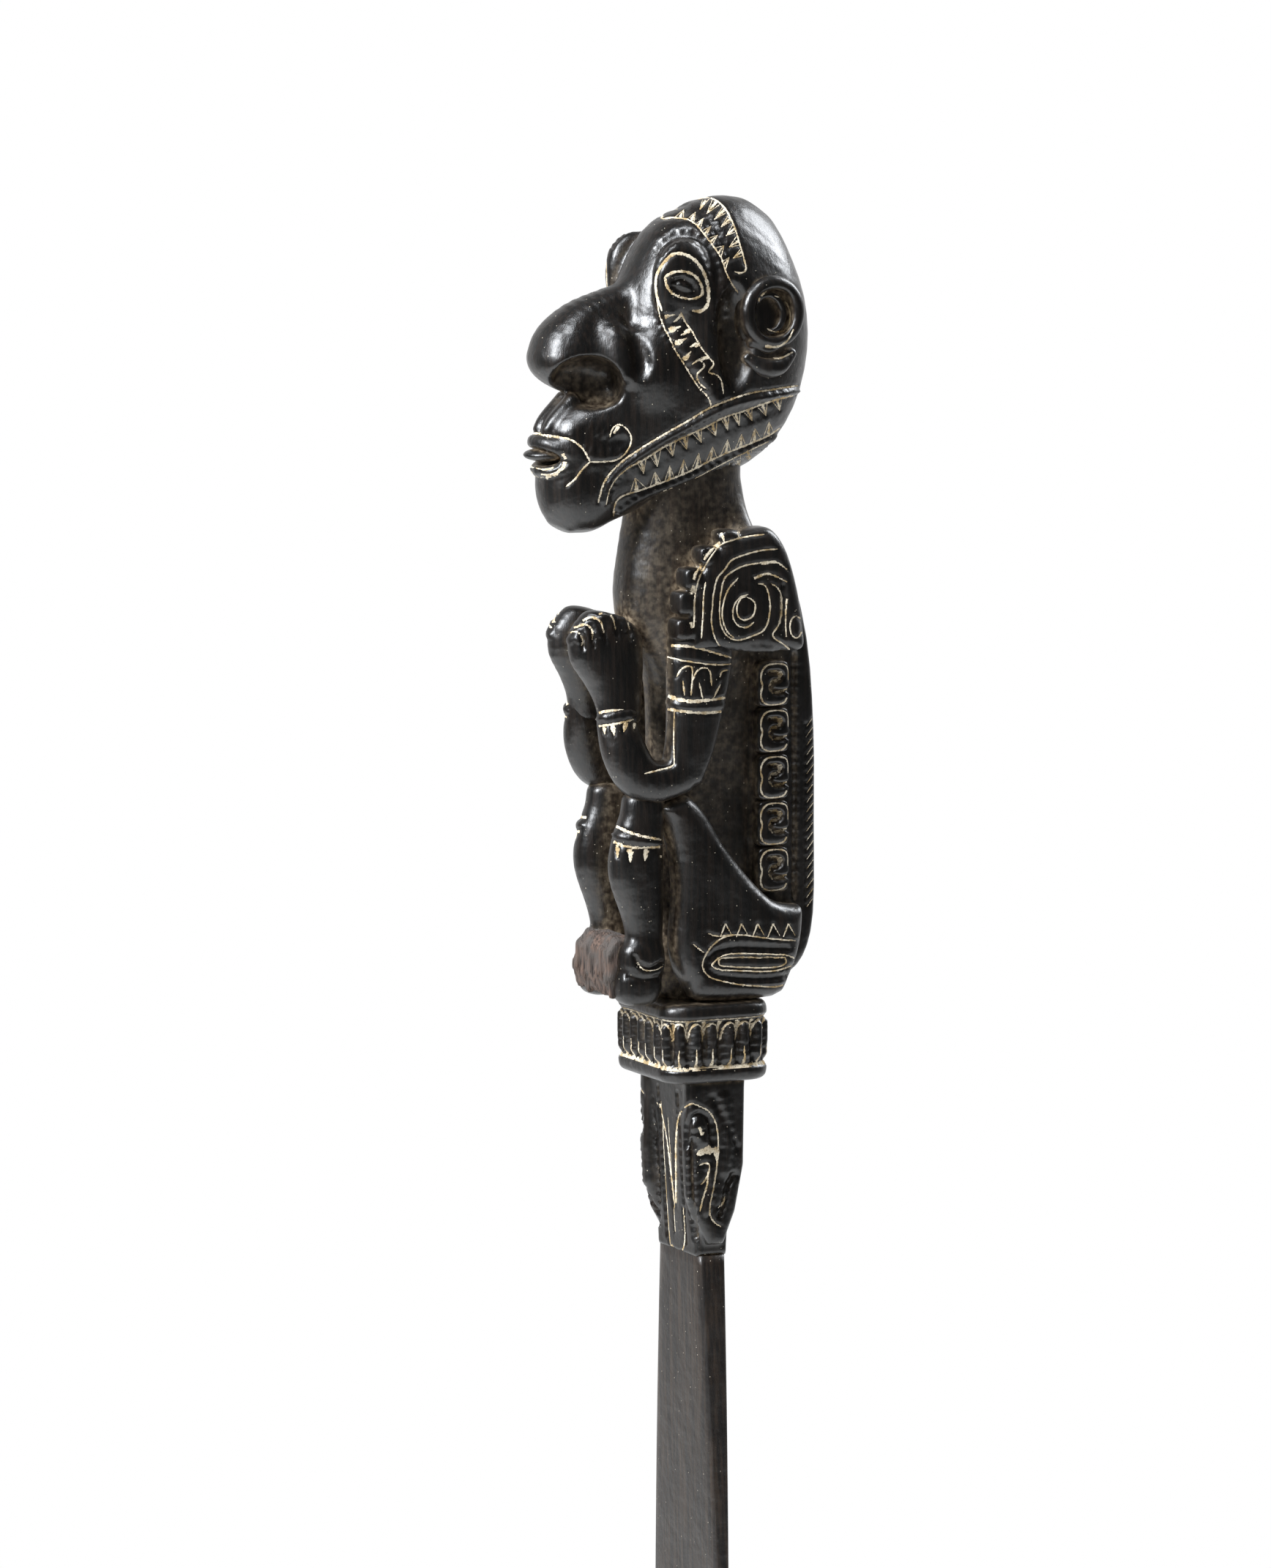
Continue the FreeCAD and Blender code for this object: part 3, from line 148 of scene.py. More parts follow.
chest = (0, -4, 290)
left_front = TARGET - RIGHT * 520 + BACK * 420 + UP * 420
right_back = TARGET + RIGHT * 480 - BACK * 260 + UP * 460
soft_box("key", left_front, chest, (210, 400), 14.0)
soft_box("back", right_back, chest, (240, 420), 5.0)
soft_box("top", TARGET - RIGHT * 120 + BACK * 320 + UP * 640, chest, (160, 160), 2.4)


# %% [markdown]
# Every finish starts alike: one shader, and the place on the wood in millimetres, so that the scale of a
# pattern can be worked out from its real size.

# %% Finishes
def finish(name):
    """A new material: its tree, its Principled shader and the place on the wood in millimetres."""
    material = bpy.data.materials.new(name)
    material.use_nodes = True
    tree = material.node_tree
    tree.nodes.clear()
    shader = add(tree, "ShaderNodeBsdfPrincipled")
    add(tree, "ShaderNodeOutputMaterial", {"Surface": shader})
    metres = add(tree, "ShaderNodeTexCoord").outputs["Object"]
    at = add(tree, "ShaderNodeMapping", {"Vector": metres, "Scale": (1000, 1000, 1000)})
    print("finish", name)
    return material, tree, shader, at


# %% [markdown]
# Ebony is nearly black, close-grained and hard enough to take a polish by hand rubbing. Years of
# handling leave a soft gloss on the high places, and dust and old lime lie in the deep ones.

# %% Ebony
def hand_rubbed_ebony(name, dark, grain, gloss, dust_share, settled=0.0):
    """Hand-rubbed ebony with dust in its hollows. settled is the dust that lies on open wood too."""
    material, tree, shader, at = finish(name)
    along = add(tree, "ShaderNodeMapping", {"Vector": at, "Scale": (1.6, 1.6, 0.07)})
    streaks = add(tree, "ShaderNodeTexNoise", {"Vector": along, "Scale": 1.0, "Detail": 4.0})
    clouds = add(tree, "ShaderNodeTexNoise", {"Vector": at, "Scale": 0.12, "Detail": 5.0})
    fine = add(tree, "ShaderNodeTexNoise", {"Vector": at, "Scale": 1.1, "Detail": 6.0})
    striped = add(tree, "ShaderNodeMapRange", {"Value": streaks, 1: 0.42, 2: 0.7})
    wood = add(tree, "ShaderNodeMix", {0: striped, 6: linear(dark), 7: linear(grain)}, data_type="RGBA")
    # Dust lies where other wood stands within 12 mm
    near = add(tree, "ShaderNodeAmbientOcclusion", {"Distance": 0.012}, samples=8).outputs["AO"]
    hollow = add(tree, "ShaderNodeMapRange", {"Value": near, 1: 0.7, 2: 0.22, 3: settled})
    patchy = add(tree, "ShaderNodeMapRange", {"Value": clouds, 1: 0.34, 2: 0.6, 3: 0.15, 4: 1.0})
    grainy = add(tree, "ShaderNodeMapRange", {"Value": fine, 1: 0.3, 2: 0.62, 3: 0.3, 4: 1.0})
    spread = add(tree, "ShaderNodeMath", {0: patchy, 1: grainy}, operation="MULTIPLY")
    lying = add(tree, "ShaderNodeMath", {0: hollow, 1: spread}, operation="MULTIPLY")
    dust = add(tree, "ShaderNodeMath", {0: lying, 1: dust_share}, operation="MULTIPLY")
    shade = add(tree, "ShaderNodeMapRange", {"Value": fine, 1: 0.35, 2: 0.65})
    dust_tone = add(
        tree, "ShaderNodeMix", {0: shade, 6: linear("#5E4B37"), 7: linear("#A08F76")}, data_type="RGBA"
    )
    # Specks of old lime, a quarter of a millimetre across
    cells = add(tree, "ShaderNodeTexVoronoi", {"Vector": at, "Scale": 1.0})
    dot = add(tree, "ShaderNodeMapRange", {"Value": cells, 1: 0.09, 2: 0.05})
    some = add(tree, "ShaderNodeMapRange", {"Value": fine, 1: 0.47, 2: 0.53, 4: 0.8})
    speck = add(tree, "ShaderNodeMath", {0: dot, 1: some}, operation="MULTIPLY")
    dusty = add(tree, "ShaderNodeMix", {0: dust, 6: wood, 7: dust_tone}, data_type="RGBA")
    tone = add(tree, "ShaderNodeMix", {0: speck, 6: dusty, 7: linear("#CFC5B2")}, data_type="RGBA")
    tree.links.new(tone.outputs[2], shader.inputs["Base Color"])
    worn = add(tree, "ShaderNodeMapRange", {"Value": clouds, 1: 0.3, 2: 0.7, 3: gloss, 4: gloss + 0.16})
    rough = add(tree, "ShaderNodeMix", {0: dust, 2: worn, 3: 0.85})
    tree.links.new(rough.outputs[0], shader.inputs["Roughness"])
    shader.inputs["IOR"].default_value = 1.5
    shader.inputs["Coat Weight"].default_value = 0.2
    shader.inputs["Coat Roughness"].default_value = 0.2
    # Pores along the grain, and the soft facets that the scraping left
    pore_place = add(tree, "ShaderNodeMapping", {"Vector": at, "Scale": (5.5, 5.5, 0.5)})
    pores = add(tree, "ShaderNodeTexNoise", {"Vector": pore_place, "Scale": 1.0, "Detail": 3.0})
    facets = add(tree, "ShaderNodeTexNoise", {"Vector": at, "Scale": 0.45, "Detail": 2.0})
    scraped = add(tree, "ShaderNodeMath", {0: facets, 1: 1.4}, operation="MULTIPLY")
    height = add(tree, "ShaderNodeMath", {0: pores, 1: 0.25, 2: scraped}, operation="MULTIPLY_ADD")
    bump = add(tree, "ShaderNodeBump", {"Height": height, "Strength": 0.45, "Distance": 0.0003})
    tree.links.new(bump.outputs[0], shader.inputs["Normal"])
    return material


# Handled for years: black with a soft gloss, and brown dust only in its hollows
ebony = hand_rubbed_ebony("ebony_hand_rubbed", "#0B0A09", "#1C1612", 0.27, 0.95)
# Out of a polisher's reach: the same wood, duller, with a thin film of dust on its open places
dusty_ebony = hand_rubbed_ebony("ebony_under_dust", "#0E0C0A", "#241C16", 0.3, 1.0, 0.14)
# Scraped plain and little rubbed: a browner black with its grain showing
blade_ebony = hand_rubbed_ebony("ebony_blade", "#14100E", "#30261E", 0.34, 0.25)

# %% [markdown]
# The lime in the cuts is burnt coral, rubbed in as a paste. Dry, it has no gloss at all, and age has
# yellowed it in patches and worn it brown where fingers reach.

# %% Lime
def rubbed_lime():
    """Burnt coral lime: a pale, chalky line that stands out from the black wood."""
    material, tree, shader, at = finish("coral_lime")
    patches = add(tree, "ShaderNodeTexNoise", {"Vector": at, "Scale": 0.5, "Detail": 4.0})
    grit = add(tree, "ShaderNodeTexNoise", {"Vector": at, "Scale": 4.0, "Detail": 3.0})
    aged = add(tree, "ShaderNodeMapRange", {"Value": patches, 1: 0.42, 2: 0.62})
    worn = add(tree, "ShaderNodeMapRange", {"Value": grit, 1: 0.55, 2: 0.7})
    chalk = add(
        tree, "ShaderNodeMix", {0: aged, 6: linear("#DDD2BC"), 7: linear("#A8926C")}, data_type="RGBA"
    )
    tone = add(tree, "ShaderNodeMix", {0: worn, 6: chalk, 7: linear("#6A5B45")}, data_type="RGBA")
    tree.links.new(tone.outputs[2], shader.inputs["Base Color"])
    shader.inputs["Roughness"].default_value = 0.9
    shader.inputs["Specular IOR Level"].default_value = 0.25
    bump = add(tree, "ShaderNodeBump", {"Height": grit, "Strength": 0.6, "Distance": 0.0001})
    tree.links.new(bump.outputs[0], shader.inputs["Normal"])
    return material


lime_finish = rubbed_lime()

# %% [markdown]
# Where the toes broke off, the inside of the wood was never polished. Its fibres stand up and scatter the
# light, so the break looks pale and brown beside the rest.

# %% Torn wood
def torn_wood():
    """The raw inside of the wood: grey-brown and dull, with long fibres."""
    material, tree, shader, at = finish("ebony_broken")
    along = add(tree, "ShaderNodeMapping", {"Vector": at, "Scale": (3.2, 3.2, 0.22)})
    fibres = add(tree, "ShaderNodeTexNoise", {"Vector": along, "Scale": 1.0, "Detail": 5.0})
    clouds = add(tree, "ShaderNodeTexNoise", {"Vector": at, "Scale": 0.35, "Detail": 3.0})
    lit = add(tree, "ShaderNodeMapRange", {"Value": fibres, 1: 0.32, 2: 0.68})
    grey = add(tree, "ShaderNodeMapRange", {"Value": clouds, 1: 0.4, 2: 0.62})
    brown = add(
        tree, "ShaderNodeMix", {0: lit, 6: linear("#1E1815"), 7: linear("#6A564B")}, data_type="RGBA"
    )
    tone = add(tree, "ShaderNodeMix", {0: grey, 6: brown, 7: linear("#4C4642")}, data_type="RGBA")
    tree.links.new(tone.outputs[2], shader.inputs["Base Color"])
    shader.inputs["Roughness"].default_value = 0.82
    bump = add(tree, "ShaderNodeBump", {"Height": fibres, "Strength": 0.9, "Distance": 0.0004})
    tree.links.new(bump.outputs[0], shader.inputs["Normal"])
    return material


torn_finish = torn_wood()

# %% [markdown]
# A carver takes wood away from one billet, and every form runs into the next in a small hollow. Distance
# fields do the same. Each field says how far a point is from a form, the smaller of two fields joins them,
# and a smooth minimum leaves the soft hollow that a knife leaves.

# %% Shapes as distance fields
def smooth_min(a, b, k):
    """The smaller of two fields, eased over a width k where they are nearly equal."""
    h = np.clip(0.5 + 0.5 * (b - a) / k, 0, 1)
    return b * (1 - h) + a * h - k * h * (1 - h)


def smooth_max(a, b, k):
    return -smooth_min(-a, -b, k)


def radial(u, size, power):
    """Distance from an oval of half sizes size, measured along the line from its middle."""
    length = np.sqrt((u * u).sum(1)) + 1e-9
    k = ((np.abs(u) / size) ** power).sum(1) ** (1 / power) + 1e-9
    return np.maximum(length * (1 - 1 / k), -np.min(np.atleast_2d(size), axis=1))


def oval(p, centre, size, power=2.0):
    return radial(p - np.array(centre, float), np.array(size, float), power)


def spline(points, count):
    """Points of a Catmull-Rom curve through rows of numbers."""
    rows = np.array(points, float)
    rows = np.vstack((2 * rows[0] - rows[1], rows, 2 * rows[-1] - rows[-2]))
    made = []
    for i in range(1, len(rows) - 2):
        for t in np.arange(count) / count:
            a, b, c, d = rows[i - 1 : i + 3]
            made.append(
                0.5 * (2 * b + (c - a) * t + (2 * a - 5 * b + 4 * c - d) * t * t
                       + (3 * b - a - 3 * c + d) * t ** 3)
            )
    made.append(rows[-2])
    return np.array(made)


def sweep(p, stations, power=2.2, count=4):
    """A limb: stations are (x, y, height over the drum, half width, half depth)."""
    s = spline(stations, count)
    best = np.full(len(p), 1e9)
    for a, b in zip(s[:-1], s[1:]):
        start, way = a[:3], b[:3] - a[:3]
        length = math.sqrt((way * way).sum()) + 1e-9
        along = way / length
        u = p - start
        t = np.clip(u @ along / length, 0, 1)
        u = u - t[:, None] * way
        side = np.array((1.0, 0, 0)) - along * along[0]
        side /= np.linalg.norm(side)
        deep = np.cross(along, side)
        wide = a[3] + (b[3] - a[3]) * t
        depth = a[4] + (b[4] - a[4]) * t
        local = np.stack((u @ side, u @ deep, u @ along), 1)
        size = np.stack((wide, depth, np.minimum(wide, depth) * 0.7), 1)
        best = np.minimum(best, radial(local, size, power))
    return best


def outline_distance(y, h, corners):
    """Signed distance from a closed outline in the figure's side view."""
    c = np.array(corners, float)
    best = np.full(len(y), 1e9)
    inside = np.zeros(len(y), bool)
    for (ay, ah), (by, bh) in zip(c, np.roll(c, -1, 0)):
        ey, eh = by - ay, bh - ah
        wy, wh = y - ay, h - ah
        t = np.clip((wy * ey + wh * eh) / (ey * ey + eh * eh), 0, 1)
        best = np.minimum(best, (wy - ey * t) ** 2 + (wh - eh * t) ** 2)
        crossing = (ah > h) != (bh > h)
        edge_y = ey * (h - ah) / (eh if abs(eh) > 1e-9 else 1e-9) + ay
        inside ^= crossing & (y < edge_y)
    best = np.sqrt(best)
    return np.where(inside, -best, best)


def eased(corners, count=3):
    """The same closed outline, run smoothly through its corners."""
    rows = np.array(corners, float)
    return spline(np.vstack((rows[-1:], rows, rows[:2])), count)[count : -count - 1]


def slab(p, corners, low, high, edge):
    """A plate cut to a side outline, from x = low to x = high, with soft edges."""
    side = outline_distance(p[:, 1], p[:, 2], corners)
    middle, half = (low + high) / 2, (high - low) / 2
    return smooth_max(side, np.abs(p[:, 0] - middle) - half, edge)


outside = oval(np.array(((7.0, 0, 0),)), (0, 0, 0), (5, 5, 5))
print("7 mm from the middle of a ball of 5 mm:", outside[0], "mm outside it")

# %% [markdown]
# A field has to become faces before Blender can draw it. The space is cut into small cells, each cell that
# the surface crosses gets one point, and neighbouring points are joined to four-sided faces. Each point is
# then moved along the slope of the field until it lies on the surface.

# %% From a field to a mesh
def surface(field, low, high):
    """The surface where a field is nought, as points and four-sided faces."""
    low, high = np.array(low, float) - 2 * GRID, np.array(high, float) + 2 * GRID
    # Only blocks of cells that lie near the surface are read cell by cell
    block = 8
    count = np.ceil((high - low) / GRID / block).astype(int)
    cells = count * block
    origins = np.stack(np.meshgrid(*[np.arange(n) for n in count], indexing="ij"), -1).reshape(-1, 3)
    centres = low + (origins + 0.5) * block * GRID
    middle = field(centres)
    values = np.repeat(
        np.repeat(np.repeat(np.sign(middle).reshape(count) * 9.0, block, 0), block, 1), block, 2
    )
    near = origins[np.abs(middle) < block * GRID * 1.15]
    offsets = np.stack(np.meshgrid(*[np.arange(block)] * 3, indexing="ij"), -1).reshape(-1, 3)
    for part in np.array_split(near, max(1, len(near) // 400)):
        index = (part[:, None, :] * block + offsets[None]).reshape(-1, 3)
        values[index[:, 0], index[:, 1], index[:, 2]] = field(low + index * GRID)
    inside = values < 0
    n = values.shape
    total = np.zeros([k - 1 for k in n], np.uint8)
    corners = [(i, j, k) for i in (0, 1) for j in (0, 1) for k in (0, 1)]
    for i, j, k in corners:
        total += inside[i : n[0] - 1 + i, j : n[1] - 1 + j, k : n[2] - 1 + k]
    mixed = np.argwhere((total > 0) & (total < 8))
    where = np.zeros((len(mixed), 3))
    hits = np.zeros(len(mixed))
    for axis in range(3):
        for first in corners:
            if first[axis]:
                continue
            a = mixed + np.array(first)
            b = a.copy()
            b[:, axis] += 1
            fa, fb = values[tuple(a.T)], values[tuple(b.T)]
            cross = (fa < 0) != (fb < 0)
            t = np.where(cross, fa / np.where(cross, fa - fb, 1), 0)
            point = a.astype(float)
            point[:, axis] += t
            where += point * cross[:, None]
            hits += cross
    points = low + where / hits[:, None] * GRID
    number = np.full([k - 1 for k in n], -1)
    number[tuple(mixed.T)] = np.arange(len(mixed))
    faces = []
    for axis in range(3):
        # Every edge that crosses the surface gets a face through the four cells round it
        one, two = [k for k in range(3) if k != axis]
        lead = [slice(None)] * 3
        lag = [slice(None)] * 3
        lead[axis], lag[axis] = slice(1, None), slice(None, -1)
        change = inside[tuple(lead)] != inside[tuple(lag)]
        at = np.argwhere(change)
        at = at[(at[:, one] > 0) & (at[:, two] > 0)]
        first_in = inside[tuple(at.T)]
        ring = []
        for d1, d2 in ((1, 1), (0, 1), (0, 0), (1, 0)):
            cell = at.copy()
            cell[:, one] -= d1
            cell[:, two] -= d2
            ring.append(number[tuple(cell.T)])
        quad = np.stack(ring, 1)
        flip = first_in if axis != 1 else ~first_in
        quad[~flip] = quad[~flip][:, ::-1]
        faces.append(quad)
    faces = np.vstack(faces)
    faces = faces[(faces >= 0).all(1)]
    return settle(field, points), faces


def slope(field, points):
    """How a field rises along x, y and z at some points, measured over a short reach on both sides."""
    reach = 0.08
    grad = np.zeros_like(points)
    for axis in range(3):
        push = np.zeros(3)
        push[axis] = reach
        grad[:, axis] = (field(points + push) - field(points - push)) / (2 * reach)
    return grad


def settle(field, points):
    """Moves points on to the surface, in two steps of at most 0.7 of a cell."""
    for _ in range(2):
        grad = slope(field, points)
        size = (grad * grad).sum(1) + 1e-6
        move = -field(points)[:, None] * grad / size[:, None]
        length = np.sqrt((move * move).sum(1))
        move *= np.minimum(1, GRID * 0.7 / (length + 1e-9))[:, None]
        points = points + move
    return points


ball_points, ball_faces = surface(lambda p: oval(p, (0, 0, 0), (2, 2, 2)), (-2, -2, -2), (2, 2, 2))
print("a ball of 2 mm:", len(ball_points), "points,", len(ball_faces), "faces")

# %% [markdown]
# The cut lines are drawn the way a carver draws them: as strokes on the side of the figure. The
# photograph serves as the tracing paper, so a stroke is a row of "across down" pairs in its pixels, and
# each pair is carried along the camera's line of sight to the wood.

# %% Papers
class PhotoPaper:
    """Tracing paper over the photograph, for the left side; the right side mirrors it."""

    mirrors = True

    def trace(self, points, normals):
        """Where points over the drum fall on the paper, and how far their faces turn to it."""
        side = np.array((1.0, 1, 1)) * np.where(points[:, :1] < 0, (-1.0, 1, 1), (1.0, 1, 1))
        d = points * side + np.array((0, 0, DRUM_TOP)) - TARGET
        scale = DISTANCE / (DISTANCE - d @ BACK) / MM_PER_PIXEL
        flat = np.stack((MID_ACROSS + d @ RIGHT * scale, MID_DOWN - d @ UP * scale), 1)
        return flat, (normals * side) @ BACK

    def sight(self, across, down):
        """The line of sight through a point of the paper: where it starts and which way it runs."""
        way = RIGHT * (across - MID_ACROSS) * MM_PER_PIXEL + UP * (MID_DOWN - down) * MM_PER_PIXEL
        way = way - BACK * DISTANCE
        return TARGET + BACK * DISTANCE - np.array((0, 0, DRUM_TOP)), way / np.linalg.norm(way)


class FlatPaper:
    """Paper held flat before a face. It looks along `way`, and its units are the photograph's pixels."""

    mirrors = False
    stand_off = 60

    def __init__(self, way, across):
        self.way, self.across = np.array(way, float), np.array(across, float)

    def trace(self, points, normals):
        flat = np.stack((points @ self.across, -points[:, 2]), 1) / MM_PER_PIXEL
        return flat, -(normals @ self.way)

    def sight(self, across, down):
        start = self.across * across * MM_PER_PIXEL - self.way * self.stand_off
        start[2] = -down * MM_PER_PIXEL
        return start, self.way


class WrapPaper:
    """Paper wrapped round the drum: across runs along its edge, down is below its top."""

    mirrors = False
    corner_points, ring_points, stand_off = 12, 720, 5

    def __init__(self, half_wide, half_deep, corner):
        ring = []
        for turn, (cx, cy) in enumerate(((1, -1), (1, 1), (-1, 1), (-1, -1))):
            for angle in np.linspace(-math.pi / 2, 0, self.corner_points) + turn * math.pi / 2:
                out = (math.cos(angle), math.sin(angle))
                ring.append(
                    (cx * (half_wide - corner) + corner * out[0], cy * (half_deep - corner) + corner * out[1])
                )
        ring = np.array(ring + ring[:1])
        steps = np.sqrt((np.diff(ring, axis=0) ** 2).sum(1))
        run = np.concatenate(((0,), np.cumsum(steps)))
        self.length = run[-1]
        self.run = np.linspace(0, self.length, self.ring_points)
        self.ring = np.stack([np.interp(self.run, run, ring[:, k]) for k in range(2)], 1)
        way = np.gradient(self.ring, axis=0)
        way /= np.linalg.norm(way, axis=1)[:, None]
        self.out = np.stack((way[:, 1], -way[:, 0]), 1)

    def trace(self, points, normals):
        place = np.array([((self.ring - q) ** 2).sum(1).argmin() for q in points[:, :2]])
        flat = np.stack((self.run[place], -points[:, 2]), 1) / MM_PER_PIXEL
        return flat, (normals[:, :2] * self.out[place]).sum(1)

    def sight(self, across, down):
        last = self.ring_points - 1
        place = int(across * MM_PER_PIXEL / self.length * last) % last
        out = np.array((*self.out[place], 0.0))
        start = np.array((*self.ring[place], -down * MM_PER_PIXEL)) + out * self.stand_off
        return start, -out


photo = PhotoPaper()
print("sight through the mouth's corner:", photo.sight(806, 631)[1].round(3))


# %% [markdown]
# A knife line is never of one width. Each stroke is run smoothly through its pairs and swells and thins a
# little on the way, always alike for the same stroke. Rows of notches follow two lines, so a loop cuts them.

# %% Strokes
LINE_HALF, NOTCH_END = 0.18, 0.1


def pairs(text):
    """The "across down" pairs of a stroke, as numbers."""
    return [[float(n) for n in pair.split()] for pair in text.split(",")]


def read_stroke(stroke):
    """Points along one stroke, with its half width at each. A stroke is its text, or text and widths."""
    text, start, end = stroke if isinstance(stroke, tuple) else (stroke, LINE_HALF, LINE_HALF)
    spacing = 1.6
    corners = pairs(text)
    if len(corners) > 2:
        corners = spline(corners, 6)
    corners = np.array(corners)
    steps = np.sqrt((np.diff(corners, axis=0) ** 2).sum(1))
    run = np.concatenate(((0,), np.cumsum(steps)))
    count = max(3, int(run[-1] / spacing) + 1)
    at = np.linspace(0, run[-1], count)
    line = np.stack((np.interp(at, run, corners[:, 0]), np.interp(at, run, corners[:, 1])), 1)
    share = at / run[-1]
    seed = abs(corners[0, 0] * 0.37 + corners[0, 1] * 0.11)
    wobble = 1 + 0.16 * np.sin(at * 0.55 + seed) + 0.1 * np.sin(at * 1.31 + seed * 2)
    width = (start + (end - start) * share) * wobble
    if start == end:
        width = width * np.minimum(1, 0.35 + np.minimum(at, run[-1] - at) / 6)
    return line, np.maximum(width, 0.04)


def teeth(top, bottom, count, wide):
    """Notches from one line of a band to the other, each cut wide at its start."""
    upper, lower = (spline(pairs(text), 12) for text in (top, bottom))

    def on(line, share):
        return line[int(share * (len(line) - 1))]

    made = []
    for k in range(count):
        share = (k + 0.5) / count
        end_across, end_down = on(lower, share)
        for shift, start in ((0, wide), (-0.36, NOTCH_END), (0.36, NOTCH_END)):
            across, down = on(upper, share + shift / count)
            made.append((f"{across} {down}, {end_across} {end_down}", start, NOTCH_END))
    return made


def nearest(points, strokes, extra):
    """How deep in a stroke each traced point lies, from 0 outside its edge to 1 on its middle."""
    read = [read_stroke(stroke) for stroke in strokes]
    middles = np.vstack([line for line, width in read])
    reach = np.concatenate([width + extra for line, width in read])
    tree = KDTree(len(middles))
    for i, (a, b) in enumerate(middles):
        tree.insert((a, b, 0), i)
    tree.balance()
    depth = np.zeros(len(points))
    for i, (a, b) in enumerate(points):
        _, index, gap = tree.find((a, b, 0))
        r = gap * MM_PER_PIXEL / reach[index]
        if r < 1:
            depth[i] = (1 - r * r) ** 2
    return depth


print("a stroke over the brow:", len(read_stroke("905 299, 920 297, 940 300")[0]), "points")


# %% [markdown]
# The lime is a body of its own, since it fills the cut. Along a stroke, three lines of sight find the cut's
# two edges and its middle on the wood, and a thin four-sided sliver is let in between them.

# %% Lime in the cuts
LIME_PROUD, LIME_DEEP, LIME_EDGE = 0.05, 0.4, 0.04
# A face seen more edge-on than this takes no lime, and a stroke that jumps farther starts anew
GRAZING, JUMP = -0.06, 1.0


def ribbon(paper, tree, strokes):
    """Strips of lime laid along the strokes, each a closed sliver let into the wood."""
    points, faces = [], []

    def close(rows):
        if len(rows) < 3:
            return
        start = len(points)
        for row in rows:
            points.extend(row)
        for k in range(len(rows) - 1):
            a = start + k * 4
            for c in range(4):
                d = (c + 1) % 4
                faces.append((a + c, a + d, a + 4 + d, a + 4 + c))
        last = start + (len(rows) - 1) * 4
        faces.append((start + 3, start + 2, start + 1, start))
        faces.append((last, last + 1, last + 2, last + 3))

    for stroke in strokes:
        line, width = read_stroke(stroke)
        way = np.gradient(line, axis=0)
        way /= np.linalg.norm(way, axis=1)[:, None] + 1e-9
        rows, before = [], None
        for (a, b), (da, db), half in zip(line, way, width / MM_PER_PIXEL):
            hits = []
            for push in (-half, 0, half):
                start, sight_way = paper.sight(a - db * push, b + da * push)
                hit, normal, _, _ = tree.ray_cast(Vector(start), Vector(sight_way))
                if hit is None or normal.dot(Vector(sight_way)) > GRAZING or (paper.mirrors and hit.x < -0.4):
                    hits = None
                    break
                hits.append((hit, normal))
            if hits is None or (hits[0][0] - hits[2][0]).length > half * MM_PER_PIXEL * 6 + 0.4:
                close(rows)
                rows, before = [], None
                continue
            if before is not None and (before - hits[1][0]).length > JUMP:
                close(rows)
                rows = []
            before = hits[1][0]
            left, middle, right = hits
            rows.append(
                (
                    tuple(left[0] - left[1] * LIME_EDGE),
                    tuple(middle[0] + middle[1] * LIME_PROUD),
                    tuple(right[0] - right[1] * LIME_EDGE),
                    tuple(middle[0] - middle[1] * LIME_DEEP),
                )
            )
        close(rows)
    return np.array(points).reshape(-1, 3), faces


# %% [markdown]
# Each piece is one form of the figure with its drawings worked in. Grooves and hollows push its points in,
# ridges push them out, and the lime is laid into the grooves as a piece of its own.

# %% Carved pieces
figure = {}


def keep(name, mesh, nodes, slot):
    """Puts a finished mesh on the figure, over the plain solids that it stands for."""
    piece = bpy.data.objects.new(name, mesh)
    scene.collection.objects.link(piece)
    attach(piece, "root")
    if nodes:
        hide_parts(*nodes)
    piece["slot"] = slot
    figure[name] = piece
    print(name, "faces", len(mesh.polygons))
    return piece


def place(name, points, faces, nodes, slot="ebony"):
    """A piece from points in millimetres over the drum's top. Wood is shaded smooth, and lime is not."""
    world_points = (np.asarray(points) + np.array((0, 0, DRUM_TOP))) * MM
    mesh = bpy.data.meshes.new(name)
    mesh.from_pydata(world_points.tolist(), [], [tuple(f) for f in faces])
    mesh.update()
    mesh.polygons.foreach_set("use_smooth", [slot == "ebony"] * len(mesh.polygons))
    keep(name, mesh, nodes, slot)


def evened(points, faces):
    """The same surface without the fine ripples where one section joins the next, and no smaller."""
    rounds, inwards, outwards = 25, 0.6, -0.62
    ends = np.vstack([faces[:, (k, (k + 1) % 4)] for k in range(4)])
    around = np.maximum(np.bincount(ends[:, 0], minlength=len(points)), 1)[:, None]
    for push in (inwards, outwards) * rounds:
        total = np.stack([np.bincount(ends[:, 0], points[ends[:, 1], k], len(points)) for k in range(3)], 1)
        points = points + push * (total / around - points)
    return points


def turned(points, faces):
    """The mirror image across the figure's middle, with its faces still pointing outwards."""
    return np.asarray(points) * np.array((-1.0, 1, 1)), [tuple(f)[::-1] for f in faces]


GROOVE_DEEP, GROOVE_EDGE = 0.16, 0.28


